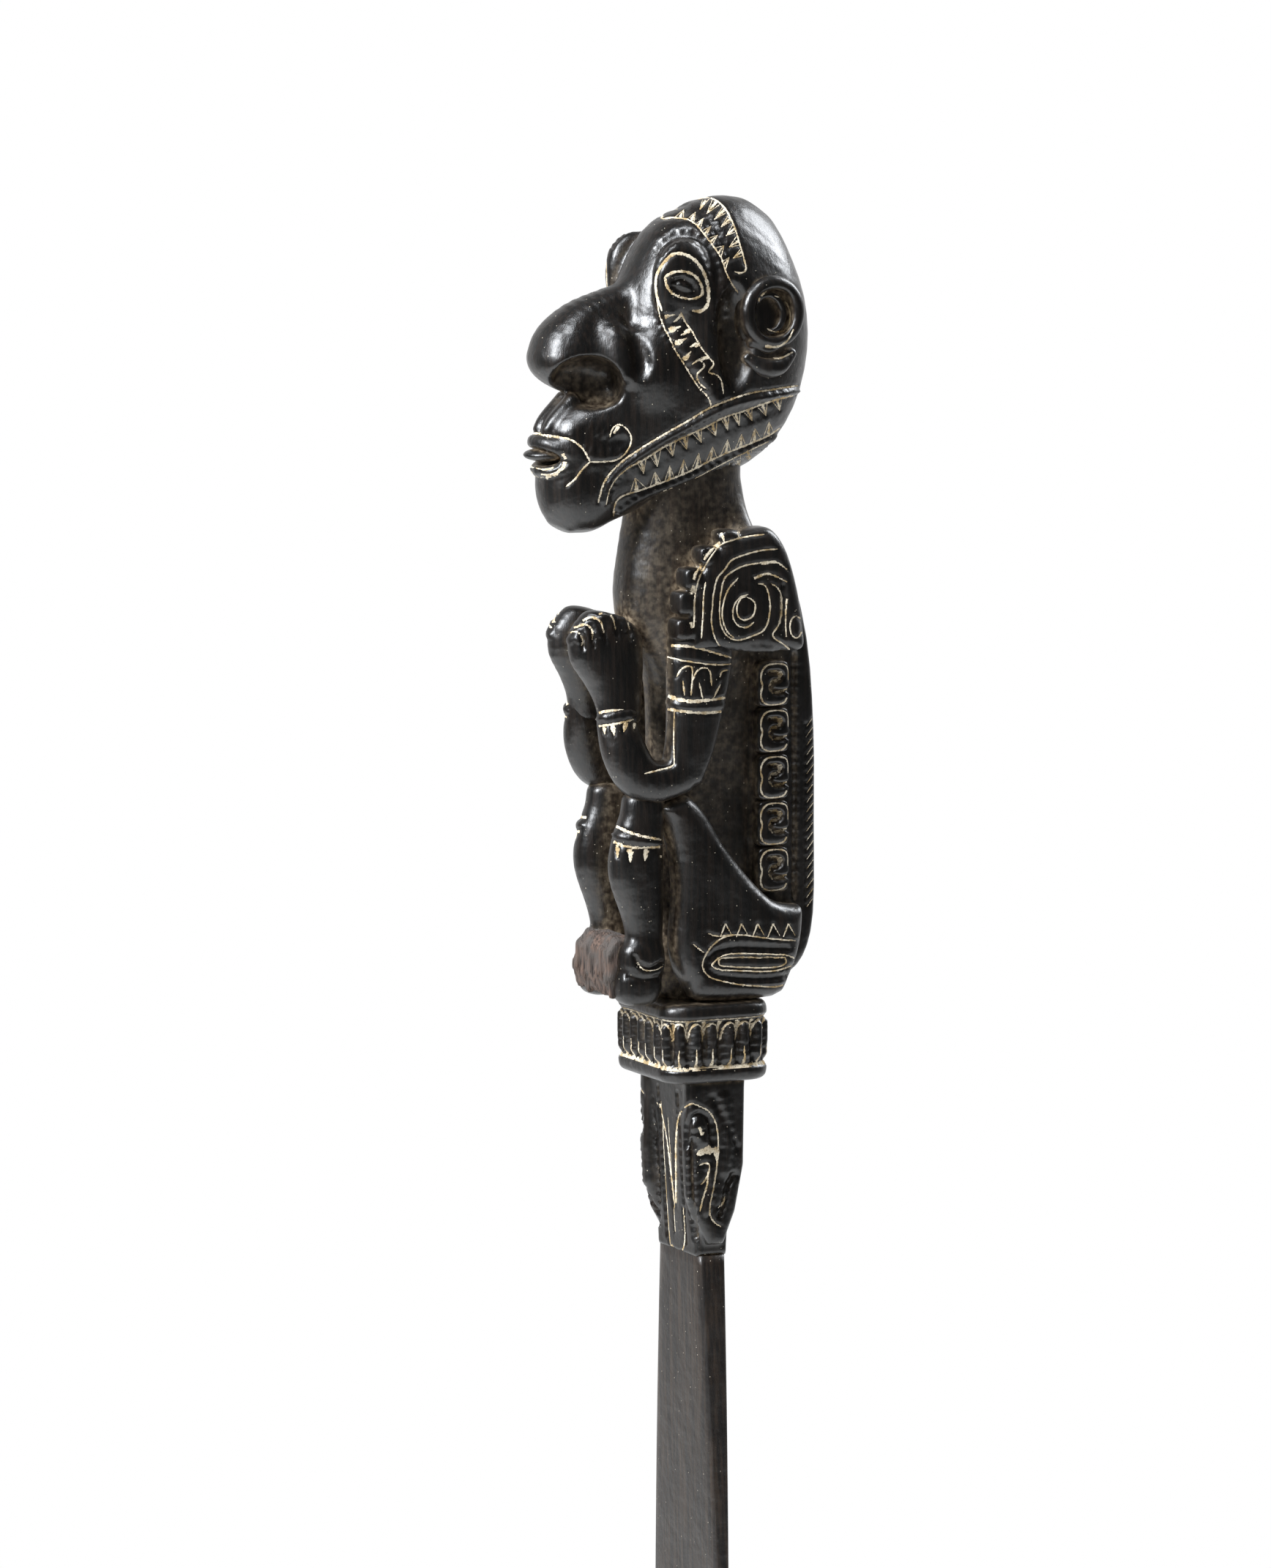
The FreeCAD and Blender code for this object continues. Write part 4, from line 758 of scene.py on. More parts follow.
def cut(field, low, high, drawings):
    """The mesh of a field with its drawings worked in: (paper, lime lines, ridges, hollows)."""
    points, faces = surface(field, low, high)
    points = evened(points, faces)
    normals = slope(field, points)
    normals /= np.linalg.norm(normals, axis=1)[:, None] + 1e-9
    move = np.zeros(len(points))
    for paper, lines, ridges, hollows in drawings:
        traced, turn = paper.trace(points, normals)
        facing_paper = np.clip((turn - 0.02) / 0.2, 0, 1)
        shown = facing_paper > 0
        part = -GROOVE_DEEP * nearest(traced[shown], lines, GROOVE_EDGE)
        for stroke, tall in ridges:
            part += tall * nearest(traced[shown], [stroke], 0.0)
        for stroke, deep in hollows:
            part -= deep * nearest(traced[shown], [stroke], 0.0)
        move[shown] += part * facing_paper[shown]
    points = points + normals * move[:, None]
    lime_points, lime_faces = [np.zeros((0, 3))], []
    if drawings:
        tree = BVHTree.FromPolygons(points.tolist(), faces.tolist())
    for paper, lines, ridges, hollows in drawings:
        strips = [ribbon(paper, tree, lines)]
        if paper.mirrors and (points[:, 0] < -1).any():
            strips.append(turned(*strips[0]))
        for strip, strip_faces in strips:
            start = sum(len(laid) for laid in lime_points)
            lime_points.append(strip)
            lime_faces += [tuple(k + start for k in f) for f in strip_faces]
    return points, faces, (np.vstack(lime_points), lime_faces)


PAIR = ("left_", "right_")


def carve(name, field, low, high, nodes, drawings=(), lime_nodes=(), sides=("",)):
    """A piece with its lime. A pair is a left piece and its mirror image on the right."""
    points, faces, lime = cut(field, low, high, drawings)
    for side in sides:
        if side == "right_":
            points, faces = turned(points, faces)
            lime = turned(*lime)
        place(f"{side}{name}", points, faces, [side + node for node in nodes])
        if len(lime[1]):
            place(f"{side}{name}_lime_lines", *lime, [side + node for node in lime_nodes], "lime")


def both(field):
    """The same field on both sides of the figure's middle."""
    return lambda p: field(np.column_stack((np.abs(p[:, 0]), p[:, 1], p[:, 2])))


# %% [markdown]
# The head leans back from its chin, so its sections are square to a slope that rises four for every
# three it runs back.

# %% Head
# Along the slope as a share of its length, shift across it, and the shares of depth and width
SKULL = [
    (0.012, 2.4, 0.08, 0.18), (0.045, 1.8, 0.26, 0.41), (0.11, 1.4, 0.43, 0.54), (0.21, 2.0, 0.62, 0.62),
    (0.35, 5.2, 0.78, 0.77), (0.49, 6.9, 0.91, 0.93), (0.63, 5.5, 1.0, 1.0), (0.77, 3.4, 0.94, 0.96),
    (0.88, 2.0, 0.72, 0.78), (0.96, 0.6, 0.42, 0.47), (1.0, 0.2, 0.18, 0.2),
]
skull_rows = spline(SKULL, 3)
CHIN_Y, CHIN_H = -24.0, 73.0
HEAD_LONG, HEAD_DEEP, HEAD_WIDE = 57.0, 16.8, 11.4


def skull(p):
    """The head without its features, as stacked ovals along its slope."""
    y, h = p[:, 1] - CHIN_Y, p[:, 2] - CHIN_H
    along = (0.6 * y + 0.8 * h) / HEAD_LONG
    across = 0.8 * y - 0.6 * h
    middle, deep, wide = (np.interp(along, skull_rows[:, 0], skull_rows[:, k]) for k in (1, 2, 3))
    u = np.stack((p[:, 0], across - middle), 1)
    ring = radial(u, np.stack((wide * HEAD_WIDE, deep * HEAD_DEEP), 1), 2.2)
    ends = np.maximum(along - 1.0, SKULL[0][0] - along) * HEAD_LONG
    return smooth_max(ring, ends, 0.6)


def head(p):
    shape = skull(p)
    chin = oval(p, (0, -19.6, 77.2), (5.4, 5.3, 5.8), 2.3)
    muzzle = oval(p, (0, -18.6, 85.0), (6.6, 6.0, 5.6), 2.2)
    shape = smooth_min(smooth_min(shape, chin, 1.6), muzzle, 2.2)
    bridge = sweep(
        p,
        [(0, -8.0, 106.0, 3.0, 3.0), (0, -13.4, 103.8, 3.8, 3.8), (0, -17.6, 100.8, 5.0, 5.4),
         (0, -19.6, 98.2, 6.4, 6.3), (0, -20.4, 96.4, 6.8, 6.2)],
    )
    wing = sweep(
        p, [(2.0, -14.6, 101.6, 2.0, 2.0), (4.8, -15.4, 100.0, 2.8, 2.8), (6.5, -15.2, 97.4, 2.4, 2.4),
            (7.4, -15.0, 94.8, 1.4, 1.4)], 2.0
    )
    nose = smooth_min(bridge, wing, 2.0)
    nostril = oval(p, (5.9, -20.3, 93.0), (5.4, 5.2, 5.0), 2.3)
    septum = np.abs(p[:, 0]) - 0.9
    nose = smooth_max(nose, -smooth_max(nostril, -septum, 0.5), 0.6)
    shape = smooth_min(shape, nose, 1.6)
    shape = smooth_max(shape, -oval(p, (5.0, -18.6, 93.6), (4.0, 4.6, 3.6), 2.2), 0.8)
    cheek = oval(p, (5.2, -9.6, 95.6), (4.9, 4.6, 6.0), 2.2)
    shape = smooth_min(shape, cheek, 2.4)
    crease = sweep(
        p, [(7.8, -13.4, 101.4, 0.3, 0.3), (8.5, -12.9, 99.4, 1.0, 1.0), (9.2, -12.6, 97.2, 1.1, 1.1),
            (9.6, -13.0, 95.4, 0.8, 0.8)], 2.0
    )
    shape = smooth_max(shape, -crease, 1.4)
    brow = oval(p, (8.3, -5.6, 108.7), (2.6, 4.8, 6.4), 2.3)
    shape = smooth_min(shape, brow, 0.9)
    temple = oval(p, (12.3, 1.9, 100.5), (4.0, 3.1, 8.8))
    shape = smooth_max(shape, -temple, 1.2)
    philtrum = sweep(p, [(1.5, -20.4, 91.0, 1.4, 1.3), (1.5, -23.4, 88.0, 1.4, 1.2),
                         (1.4, -24.6, 86.4, 1.1, 1.0)], 2.2)
    shape = smooth_min(shape, philtrum, 0.5)
    upper_lip = sweep(p, [(0, -25.6, 84.9, 1.2, 1.2), (2.4, -24.8, 84.6, 1.2, 1.2),
                          (4.4, -22.8, 83.6, 1.1, 1.1), (5.0, -20.8, 82.6, 0.8, 0.8)], 2.0)
    lower_lip = sweep(p, [(0, -25.2, 80.6, 1.1, 1.0), (2.4, -24.6, 80.6, 1.1, 1.0),
                          (4.2, -22.8, 81.2, 1.0, 0.9), (4.8, -21.0, 82.2, 0.7, 0.7)], 2.0)
    shape = smooth_min(smooth_min(shape, upper_lip, 0.5), lower_lip, 0.5)
    mouth = oval(p, (0, -24.8, 82.7), (4.4, 3.4, 1.4))
    shape = smooth_max(shape, -mouth, 0.3)
    tongue = oval(p, (0, -24.3, 82.9), (3.3, 3.3, 1.0))
    return np.minimum(shape, tongue)


# %% [markdown]
# Most of the figure's cut lines are on its head: the band over the forehead, the ring round the eye, the
# comb down the cheek and the two bands of teeth along the jaw.

# %% The head's cut lines
HEAD_LINES = [
    "905 299, 920 297, 940 300, 952 308, 962 320, 972 333, 985 352, 992 372, 1000 388, 1008 400",
    "955 268, 975 272, 990 284, 998 298, 1005 315, 1011 335, 1016 352, 1019 368, 1012 373, 1003 371",
    ("914 284, 930 273, 950 269, 962 269", 0.1, 0.16),
    ("904 425, 897 405, 895 385, 900 368, 915 350, 928 346, 945 352, 958 366, 966 385, 968 403, 966 417,"
     " 957 425, 945 424", 0.34, 0.34),
    ("908 378, 920 372, 935 371, 948 376, 957 387, 959 402, 945 408, 930 406, 918 400, 911 391, 908 378",
     0.3, 0.3),
    "897 408, 900 425, 906 445, 915 462, 922 478, 933 495, 945 515, 955 530, 965 540, 971 552, 968 560",
    "930 426, 936 440, 945 452, 952 465, 960 478, 970 490, 975 498, 968 508, 980 513, 986 522, 988 538",
    ("908 432, 922 430", 0.5, 0.12), ("914 452, 930 446", 0.7, 0.12), ("922 470, 938 462", 0.75, 0.12),
    ("934 492, 944 480", 0.7, 0.12), ("932 430, 920 440", 0.6, 0.12), ("944 450, 930 458", 0.65, 0.12),
    ("956 470, 942 474", 0.65, 0.12), ("968 488, 952 492", 0.5, 0.12),
    "945 498, 955 492, 962 500, 952 512, 956 524, 966 532",
    ("720 606, 730 593, 745 595, 762 597, 780 601, 795 612, 803 625, 806 631", 0.22, 0.22),
    "806 631, 820 631, 840 629, 853 621, 861 608, 862 596, 855 585, 845 580, 837 586, 833 597",
    ("845 582, 838 592", 0.5, 0.2),
    "806 631, 795 642, 785 655, 773 665",
    ("721 638, 735 647, 752 648, 766 641, 771 630, 768 620", 0.75, 0.5),
    ("719 633, 735 640, 752 640, 762 633", 0.5, 0.3),
    "817 687, 824 662, 835 645, 853 628, 880 610, 910 592, 940 575, 968 558, 1000 545, 1025 537,"
    " 1050 533, 1090 527",
    "828 690, 833 668, 845 650, 860 638",
    "855 640, 880 628, 905 612, 935 597, 965 583, 990 570, 1015 562, 1040 553, 1065 545, 1085 540",
    "838 705, 840 690, 850 678, 880 668, 910 657, 940 645, 965 632, 990 620, 1020 608, 1050 595, 1068 583",
    "900 673, 940 658, 975 640, 1010 622, 1050 603",
]
for top, bottom, count, wide in (
    ("868 632, 890 622, 915 606, 938 595, 960 585, 985 572, 1003 565, 1023 558, 1048 549, 1072 541",
     "872 650, 894 640, 919 623, 942 612, 966 601, 989 590, 1008 582, 1029 574, 1052 566, 1074 557", 11, 0.5),
    ("858 674, 893 663, 915 655, 938 646, 962 634, 988 621, 1012 611, 1037 600, 1060 588",
     "856 656, 890 646, 915 636, 940 625, 965 614, 990 602, 1013 593, 1037 582, 1060 572", 10, 0.45),
    ("895 678, 925 667, 947 657, 968 646, 990 635, 1010 624, 1030 613",
     "900 690, 930 680, 950 670, 972 659, 993 648, 1013 637, 1033 625", 8, 0.4),
    ("960 268, 975 272, 990 284, 998 298, 1005 315, 1011 335, 1016 352",
     "951 285, 962 290, 975 299, 985 310, 993 325, 998 344, 1005 362", 7, 0.45),
    ("918 298, 940 300, 952 308, 962 320, 972 333, 985 352, 992 372",
     "925 286, 946 288, 960 297, 971 309, 982 324, 992 342, 1000 362", 7, 0.35),
):
    HEAD_LINES += teeth(top, bottom, count, wide)
HEAD_RIDGES = [
    (("826 690, 832 664, 842 648, 860 632, 885 614, 915 596, 945 580, 970 566, 1000 553, 1030 545,"
      " 1060 540, 1090 533", 0.9, 0.9), 0.5),
    (("842 700, 880 677, 920 662, 960 645, 1000 627, 1040 608, 1062 595", 0.8, 0.8), 0.5),
    (("908 430, 925 462, 945 490, 965 520, 978 545", 2.0, 1.6), 0.45),
]
HEAD_HOLLOWS = [
    (("918 386, 932 382, 946 390, 948 400, 932 399, 918 390", 0.8, 0.8), 0.6),
    (("902 432, 915 462, 935 492, 958 528", 0.5, 0.5), 0.15),
    (("935 286, 962 296, 982 322, 998 352", 1.4, 0.8), 0.3),
    (("862 652, 905 630, 950 608, 1000 585, 1060 560", 1.3, 1.0), 0.1),
    (("897 348, 910 331, 925 322, 945 322, 960 332, 971 350, 978 375, 982 400, 985 432, 978 455",
      1.2, 1.2), 0.4),
    (("800 600, 830 606, 850 604", 2.4, 1.6), 0.5),
]
carve(
    "head_form", both(head), (-12.5, -29, 70), (12.5, 19, 121.5),
    ["head", "nose", "lips", "left_eye", "right_eye"],
    [(photo, HEAD_LINES, HEAD_RIDGES, HEAD_HOLLOWS)], ["left_eye_lime", "right_eye_lime"]
)


# %% [markdown]
# The ears are scrolls: a thick rim, a deep hollow and a thin curl inside it, with a leaf below. The rim is
# part of a ring, and the curl is a thin sweep that stands up from the floor of the hollow.

# %% Ears
def ear(p):
    base = oval(p, (8.2, 8.0, 103.6), (2.8, 5.3, 5.6), 2.6)
    q = p - np.array((11.0, 7.9, 103.8))
    rim, thick = 3.7, 1.05
    out = np.sqrt((q[:, 1] * 0.92) ** 2 + (q[:, 2] * 0.86) ** 2) - rim
    ring = np.sqrt(out ** 2 + (q[:, 0] * 0.85) ** 2) - thick
    shape = smooth_min(base, ring, 0.4)
    shape = smooth_max(shape, -oval(p, (12.4, 7.9, 103.8), (4.0, 3.1, 3.6), 2.4), 0.3)
    curl = sweep(
        p, [(10.2, 4.9, 104.6, 0.9, 0.5), (10.6, 6.2, 106.4, 0.9, 0.5), (10.8, 8.2, 106.2, 0.9, 0.55),
            (10.8, 9.5, 104.2, 0.9, 0.6), (10.7, 9.2, 101.9, 0.9, 0.6), (10.5, 7.7, 100.9, 0.9, 0.5),
            (10.2, 6.5, 102.2, 0.8, 0.4)], 2.6
    )
    shape = smooth_min(shape, curl, 0.25)
    lobe = sweep(p, [(10.0, 4.0, 97.2, 1.2, 0.9), (10.4, 6.4, 95.8, 1.6, 1.5), (10.4, 9.0, 95.8, 1.6, 1.5),
                     (10.0, 11.4, 97.6, 1.1, 0.9)], 2.2)
    shelf = sweep(p, [(10.0, 4.6, 99.2, 1.0, 0.6), (10.6, 7.2, 98.4, 1.2, 0.8), (10.2, 10.4, 99.4, 0.9, 0.6)])
    return smooth_min(smooth_min(shape, lobe, 0.5), shelf, 0.3)


EAR_LINES = [
    "1047 398, 1040 404, 1036 414, 1036 428, 1042 444, 1054 452, 1068 453, 1077 444, 1079 430, 1076 418,"
    " 1068 408, 1058 404",
    ("1045 473, 1062 474, 1076 465, 1084 450", 0.3, 0.16),
    ("1033 481, 1048 487, 1065 489, 1083 481", 0.3, 0.2),
]
carve("ear_form", ear, (5.0, 1.6, 92), (13.4, 14, 110), ["ear"], [(photo, EAR_LINES, (), ())], sides=PAIR)


# %% [markdown]
# The neck and the chest are one column that leans forward above the hands. A knife can't reach in there to
# polish, so dust lies on it, and it gets a duller finish than the rest.

# %% Trunk and neck
def trunk(p):
    body = sweep(
        p,
        [(0, 1.8, 1.5, 4.9, 8.0), (0, 1.8, 20, 4.9, 9.2), (0, 1.6, 45, 5.1, 9.0), (0, 0.2, 53, 6.2, 9.0),
         (0, -2.4, 60, 7.0, 9.8), (0, -2.2, 67, 7.0, 9.4), (0, -1.6, 76, 6.6, 8.6), (0, -1.6, 88, 6.6, 8.6)],
        2.5,
    )
    nape = sweep(p, [(2.0, 4.4, 76, 2.4, 2.0), (5.0, 5.2, 70.6, 2.4, 2.2), (7.6, 6.0, 67, 2.2, 2.4)])
    return smooth_min(body, nape, 1.6)


carve("trunk", both(trunk), (-10.8, -12.4, -0.5), (10.8, 12, 92), ["torso", "neck"])


# %% [markdown]
# Each shoulder is a plate with a bird's-head scroll cut into it and a row of square beads along its front
# edge. The plate is cut to a side outline, and the beads are small blocks that melt into its edge.

# %% Shoulders
SHOULDER = [(-5.3, 54.0), (-5.8, 59.1), (-4.7, 63.6), (-1.9, 68.0), (1.8, 70.6), (6.6, 71.6), (8.9, 70.8),
            (11.0, 67.6), (12.7, 62.0), (13.6, 56.6), (13.4, 52.9), (9, 53.0), (4, 53.2), (-4.9, 53.4)]


def shoulder(p):
    plate = slab(p, eased(SHOULDER), 5.0, 11.3, 2.4)
    for y, h, wide, tall in ((3.6, 69.6, 1.5, 1.2), (0.2, 67.2, 1.3, 1.3), (-2.4, 63.9, 1.2, 1.5),
                             (-3.4, 60.3, 1.2, 1.6), (-3.7, 56.4, 1.3, 1.5)):
        plate = smooth_min(plate, oval(p, (9.0, y - 2.5, h + 0.5), (2.2, wide + 0.3, tall + 0.2), 4.0), 0.2)
    return plate


SHOULDER_LINES = [
    "1044 730, 1020 733, 1000 738, 985 744, 975 755, 965 770, 957 785, 952 800, 949 820, 948 857",
    "1062 750, 1040 752, 1020 757, 1000 765, 990 778, 980 790, 975 810, 973 830, 972 850, 976 870,"
    " 985 885, 992 890",
    "964 795, 961 815, 960 845, 958 872",
    ("984 741, 972 752, 962 765", 0.5, 0.4), ("958 772, 952 782, 948 792", 0.5, 0.4),
    ("948 800, 945 812", 0.5, 0.35),
    ("944 850, 946 858", 0.4, 0.3), ("1005 722, 1010 735", 0.5, 0.2), ("985 728, 990 742", 0.5, 0.2),
    "1045 768, 1020 772, 1005 778, 990 790, 985 810, 983 830, 984 850, 990 865, 1000 873, 1012 874,"
    " 1030 868, 1042 862, 1049 850, 1052 830, 1050 812, 1045 800, 1035 797",
    "1008 790, 995 805, 988 825, 987 845, 993 862, 1003 872",
    "1022 812, 1010 817, 1002 830, 1002 845, 1009 855, 1020 857, 1030 850",
    "1019 815, 1028 820, 1032 828, 1028 842, 1016 847, 1008 841, 1007 828, 1012 818, 1019 815",
    "1053 797, 1062 803, 1067 815, 1067 840, 1063 855, 1056 865, 1058 872, 1070 880, 1084 893",
    ("1030 790, 1050 784, 1075 795", 0.3, 0.15), ("1040 770, 1060 768, 1075 778", 0.35, 0.15),
    "1088 841, 1095 848, 1096 860, 1090 871, 1082 868, 1079 856, 1082 845, 1088 841",
    ("1075 818, 1073 845, 1074 870", 0.3, 0.15),
]
SHOULDER_RIDGES = [(("992 893, 1010 891, 1030 887, 1052 887, 1066 893", 0.7, 0.7), 0.5)]
SHOULDER_HOLLOWS = [
    (("1071 800, 1070 830, 1068 860", 0.6, 0.5), 0.5), (("957 790, 955 830, 955 870", 0.5, 0.5), 0.15)
]
carve(
    "shoulder_form", shoulder, (4.6, -7.5, 52), (11.8, 14.5, 72.5), ["shoulder"],
    [(photo, SHOULDER_LINES, SHOULDER_RIDGES, SHOULDER_HOLLOWS)], ["shoulder_lime"], PAIR
)


# %% [markdown]
# The arms are folded: the upper arm drops straight to the elbow, and the forearm rises to the hands. Both
# are sweeps, and they meet in a sharp corner because the carver cut in from the front there.

# %% Arms
def arm(p):
    upper = sweep(
        p,
        [(7.9, -2.5, 55, 3.0, 5.0), (7.9, -2.8, 50, 3.0, 4.9), (7.9, -3.5, 44, 2.9, 4.2),
         (7.9, -4.3, 39, 2.9, 3.6), (7.8, -5.4, 35.4, 2.8, 3.2)], 2.8
    )
    fore = sweep(
        p,
        [(7.8, -5.8, 34.8, 2.8, 2.9), (7.7, -9.4, 33.9, 2.9, 3.1), (7.3, -12.6, 35.0, 2.9, 3.4),
         (6.7, -14.5, 38.6, 2.9, 3.4), (5.9, -15.2, 42.4, 2.6, 3.1), (5.6, -15.2, 44.2, 2.4, 3.0)],
    )
    return smooth_min(upper, fore, 0.35)


ARM_LINES = [
    ("917 882, 940 883, 960 887, 980 893, 1005 900", 0.3, 0.2),
    "907 896, 930 902, 950 905, 975 908, 1000 907",
    "924 925, 930 915, 940 910, 946 916, 944 950", "946 930, 952 917, 962 912, 970 918, 972 937",
    "983 925, 987 917, 995 915", "933 930, 935 950", "955 932, 960 955", "984 935, 975 953",
    ("905 948, 925 955, 945 958, 970 956, 992 953", 0.4, 0.3),
    ("912 969, 935 972, 960 974, 990 972", 0.32, 0.25),
    ("818 973, 830 971, 850 968, 872 964", 0.32, 0.2),
    ("818 992, 835 990, 850 987, 872 981", 0.25, 0.2),
    "880 1057, 900 1052, 915 1048, 921 1044", ("921 1044, 920 1010, 921 970", 0.16, 0.1),
    ("824 990, 826 1003", 0.8, 0.1), ("836 990, 839 1005", 0.8, 0.1), ("855 986, 852 1000", 0.8, 0.1),
    ("868 983, 866 996", 0.7, 0.1),
]
ARM_RIDGES = [(("816 982, 835 979, 872 973", 1.0, 1.0), 0.3), (("905 958, 940 966, 992 963", 0.8, 0.8), 0.2)]
carve(
    "arm_form", arm, (2.6, -20, 29.5), (11.8, 3.2, 57.6), ["upper_arm", "forearm", "arm_band", "wrist_band"],
    [(photo, ARM_LINES, ARM_RIDGES, ())], sides=PAIR
)


# %% [markdown]
# The fists rest under the chin. The fingers are only rounded ridges with lime between them, so they are
# drawn as ridges and hollows on one swept form.

# %% Hands
def hand(p):
    fist = sweep(
        p,
        [(5.4, -14.6, 43.6, 2.5, 3.2), (4.9, -14.8, 47.0, 2.7, 3.8), (4.2, -15.4, 51.0, 3.2, 5.0),
         (3.6, -16.2, 54.4, 3.3, 5.9), (3.4, -15.4, 57.0, 2.8, 4.8)], 2.3
    )
    return smooth_max(fist, 0.2 - p[:, 0], 0.5)


HAND_LINES = [
    ("774 871, 782 863, 791 865, 796 875, 794 882", 0.25, 0.15),
    ("784 858, 799 853, 808 860, 809 874", 0.3, 0.15),
    ("796 848, 808 843, 820 849, 825 865", 0.3, 0.15), ("818 839, 830 837, 837 845, 841 860", 0.3, 0.12),
    ("837 833, 849 834, 856 845, 860 860", 0.3, 0.12),
]
HAND_RIDGES = [
    (("777 872, 788 872", 1.3, 1.1), 0.4), (("786 862, 798 860, 804 872", 0.9, 0.7), 0.3),
    (("802 850, 812 852, 819 868", 0.9, 0.7), 0.3), (("822 843, 832 846, 836 862", 0.9, 0.7), 0.3),
    (("841 836, 850 842, 854 860", 0.9, 0.7), 0.3),
]
HAND_HOLLOWS = [
    (("796 872, 797 886", 0.6, 0.4), 0.5), (("809 870, 812 884", 0.5, 0.3), 0.4),
    (("825 862, 828 878", 0.5, 0.3), 0.4), (("841 858, 844 872", 0.5, 0.3), 0.4),
    (("860 858, 862 874", 0.5, 0.3), 0.4),
]
carve(
    "hand_form", hand, (0, -24, 41), (8, -9, 60), ["hand"],
    [(photo, HAND_LINES, HAND_RIDGES, HAND_HOLLOWS)], sides=PAIR
)


# %% [markdown]
# Seen from the side, thigh and hip are one broad plate with a long sloping top. An eye-shaped scroll with a
# row of points above it is cut near its foot.

# %% Thighs
THIGH = [(-9.2, 30.2), (-8.2, 27.2), (-6.8, 21.6), (-6.4, 16), (-6.9, 9.5), (-6.2, 5.4), (-4.8, 2.6),
         (-2.6, 0.2), (9.4, 0.2), (12.2, 3.2), (14.0, 8.0), (14.4, 13.4), (12.8, 14.0), (9.4, 15.0),
         (5.3, 18.9), (1.1, 24.2), (-1.4, 28.2), (-3.6, 30.8), (-5.6, 31.6)]


def thigh(p):
    return slab(p, eased(THIGH), 3.4, 10.3, 3.4)


THIGH_LINES = [
    "1087 1285, 1060 1283, 1035 1280, 1010 1277, 990 1280, 975 1290, 965 1303, 960 1315, 961 1325,"
    " 970 1335, 985 1340, 1010 1345, 1035 1347, 1060 1348, 1078 1342, 1086 1334",
    "1092 1312, 1075 1305, 1060 1304, 1030 1303, 1000 1303, 985 1307, 975 1315, 973 1320, 985 1325,"
    " 1010 1326, 1035 1327, 1060 1326, 1085 1318",
    "1073 1308, 1040 1308, 1000 1308, 985 1309, 982 1315, 990 1320, 1050 1322, 1072 1317, 1073 1308",
    "947 1290, 957 1298, 963 1302", "967 1275, 980 1279, 1000 1277",
]
# The row of points over the scroll
for across in (992, 1014, 1036, 1057, 1078):
    THIGH_LINES.append((f"{across - 8} 1280, {across - 1} 1262", 0.1, 0.2))
    THIGH_LINES.append((f"{across - 1} 1262, {across + 8} 1278", 0.2, 0.08))
THIGH_HOLLOWS = [
    (("1080 1297, 1040 1294, 1000 1294, 976 1302, 967 1316, 975 1330, 1000 1335, 1040 1337, 1078 1333",
      0.8, 0.8), 0.4),
    (("984 1312, 1000 1308, 1040 1308, 1072 1312", 0.3, 0.3), 0.2),
    (("1100 1285, 1060 1297, 1010 1296, 985 1299", 0.8, 0.6), 0.15),
]
carve(
    "thigh_form", thigh, (3, -10, -0.5), (10.8, 15, 32), ["thigh"],
    [(photo, THIGH_LINES, (), THIGH_HOLLOWS)], sides=PAIR
)


# %% [markdown]
# Each shin swells below the knee band and ends in a round foot. The toes broke off long ago, so the foot
# stays a plain knob.

# %% Lower legs
def leg(p):
    calf = sweep(
        p,
        [(6.2, -11.2, 3.0, 2.5, 2.8), (6.2, -11.0, 10.0, 2.4, 2.8), (6.2, -11.3, 14.0, 2.7, 3.2),
         (6.2, -12.3, 20.0, 3.1, 4.2), (6.2, -12.2, 24.0, 3.1, 4.0), (6.2, -11.4, 28.0, 2.9, 3.4),
         (6.2, -11.0, 30.4, 2.8, 3.4)], 2.3
    )
    ball = oval(p, (6.4, -11.6, 7.0), (2.9, 3.6, 3.4), 2.4)
    sole = oval(p, (6.2, -12.2, 3.0), (2.8, 3.4, 3.0), 3.0)
    return smooth_min(smooth_min(calf, ball, 0.8), sole, 0.5)


LEG_LINES = [
    ("842 1129, 860 1137, 880 1143, 903 1147", 0.3, 0.25),
    ("838 1150, 850 1155, 865 1158, 885 1158, 903 1157", 0.3, 0.25),
    ("843 1154, 843 1172", 0.85, 0.1), ("861 1160, 861 1178", 0.85, 0.1), ("883 1160, 881 1176", 0.85, 0.1),
    ("902 1158, 903 1172", 0.6, 0.1), ("870 1315, 880 1325, 895 1325, 905 1320", 0.2, 0.12),
]
LEG_RIDGES = [(("838 1140, 865 1147, 905 1152", 1.0, 1.0), 0.35)]
LEG_HOLLOWS = [
    (("866 1306, 874 1318, 890 1322, 905 1314", 0.6, 0.5), 0.5),
    (("858 1334, 880 1338, 905 1334", 0.6, 0.5), 0.3),
]
carve(
    "leg_form", leg, (2.6, -17.5, -0.5), (9.8, -6.5, 32), ["shin", "foot", "knee_band"],
    [(photo, LEG_LINES, LEG_RIDGES, LEG_HOLLOWS)], sides=PAIR
)


# %% [markdown]
# The drum that the figure sits on has a band of tongues between two plain rims. Every tongue is cut by
# the same few strokes, so one loop draws them on paper wrapped round the drum.

# %% Drum
DRUM_WIDE, DRUM_DEEP, DRUM_CORNER = 10.8, 8.8, 4.2


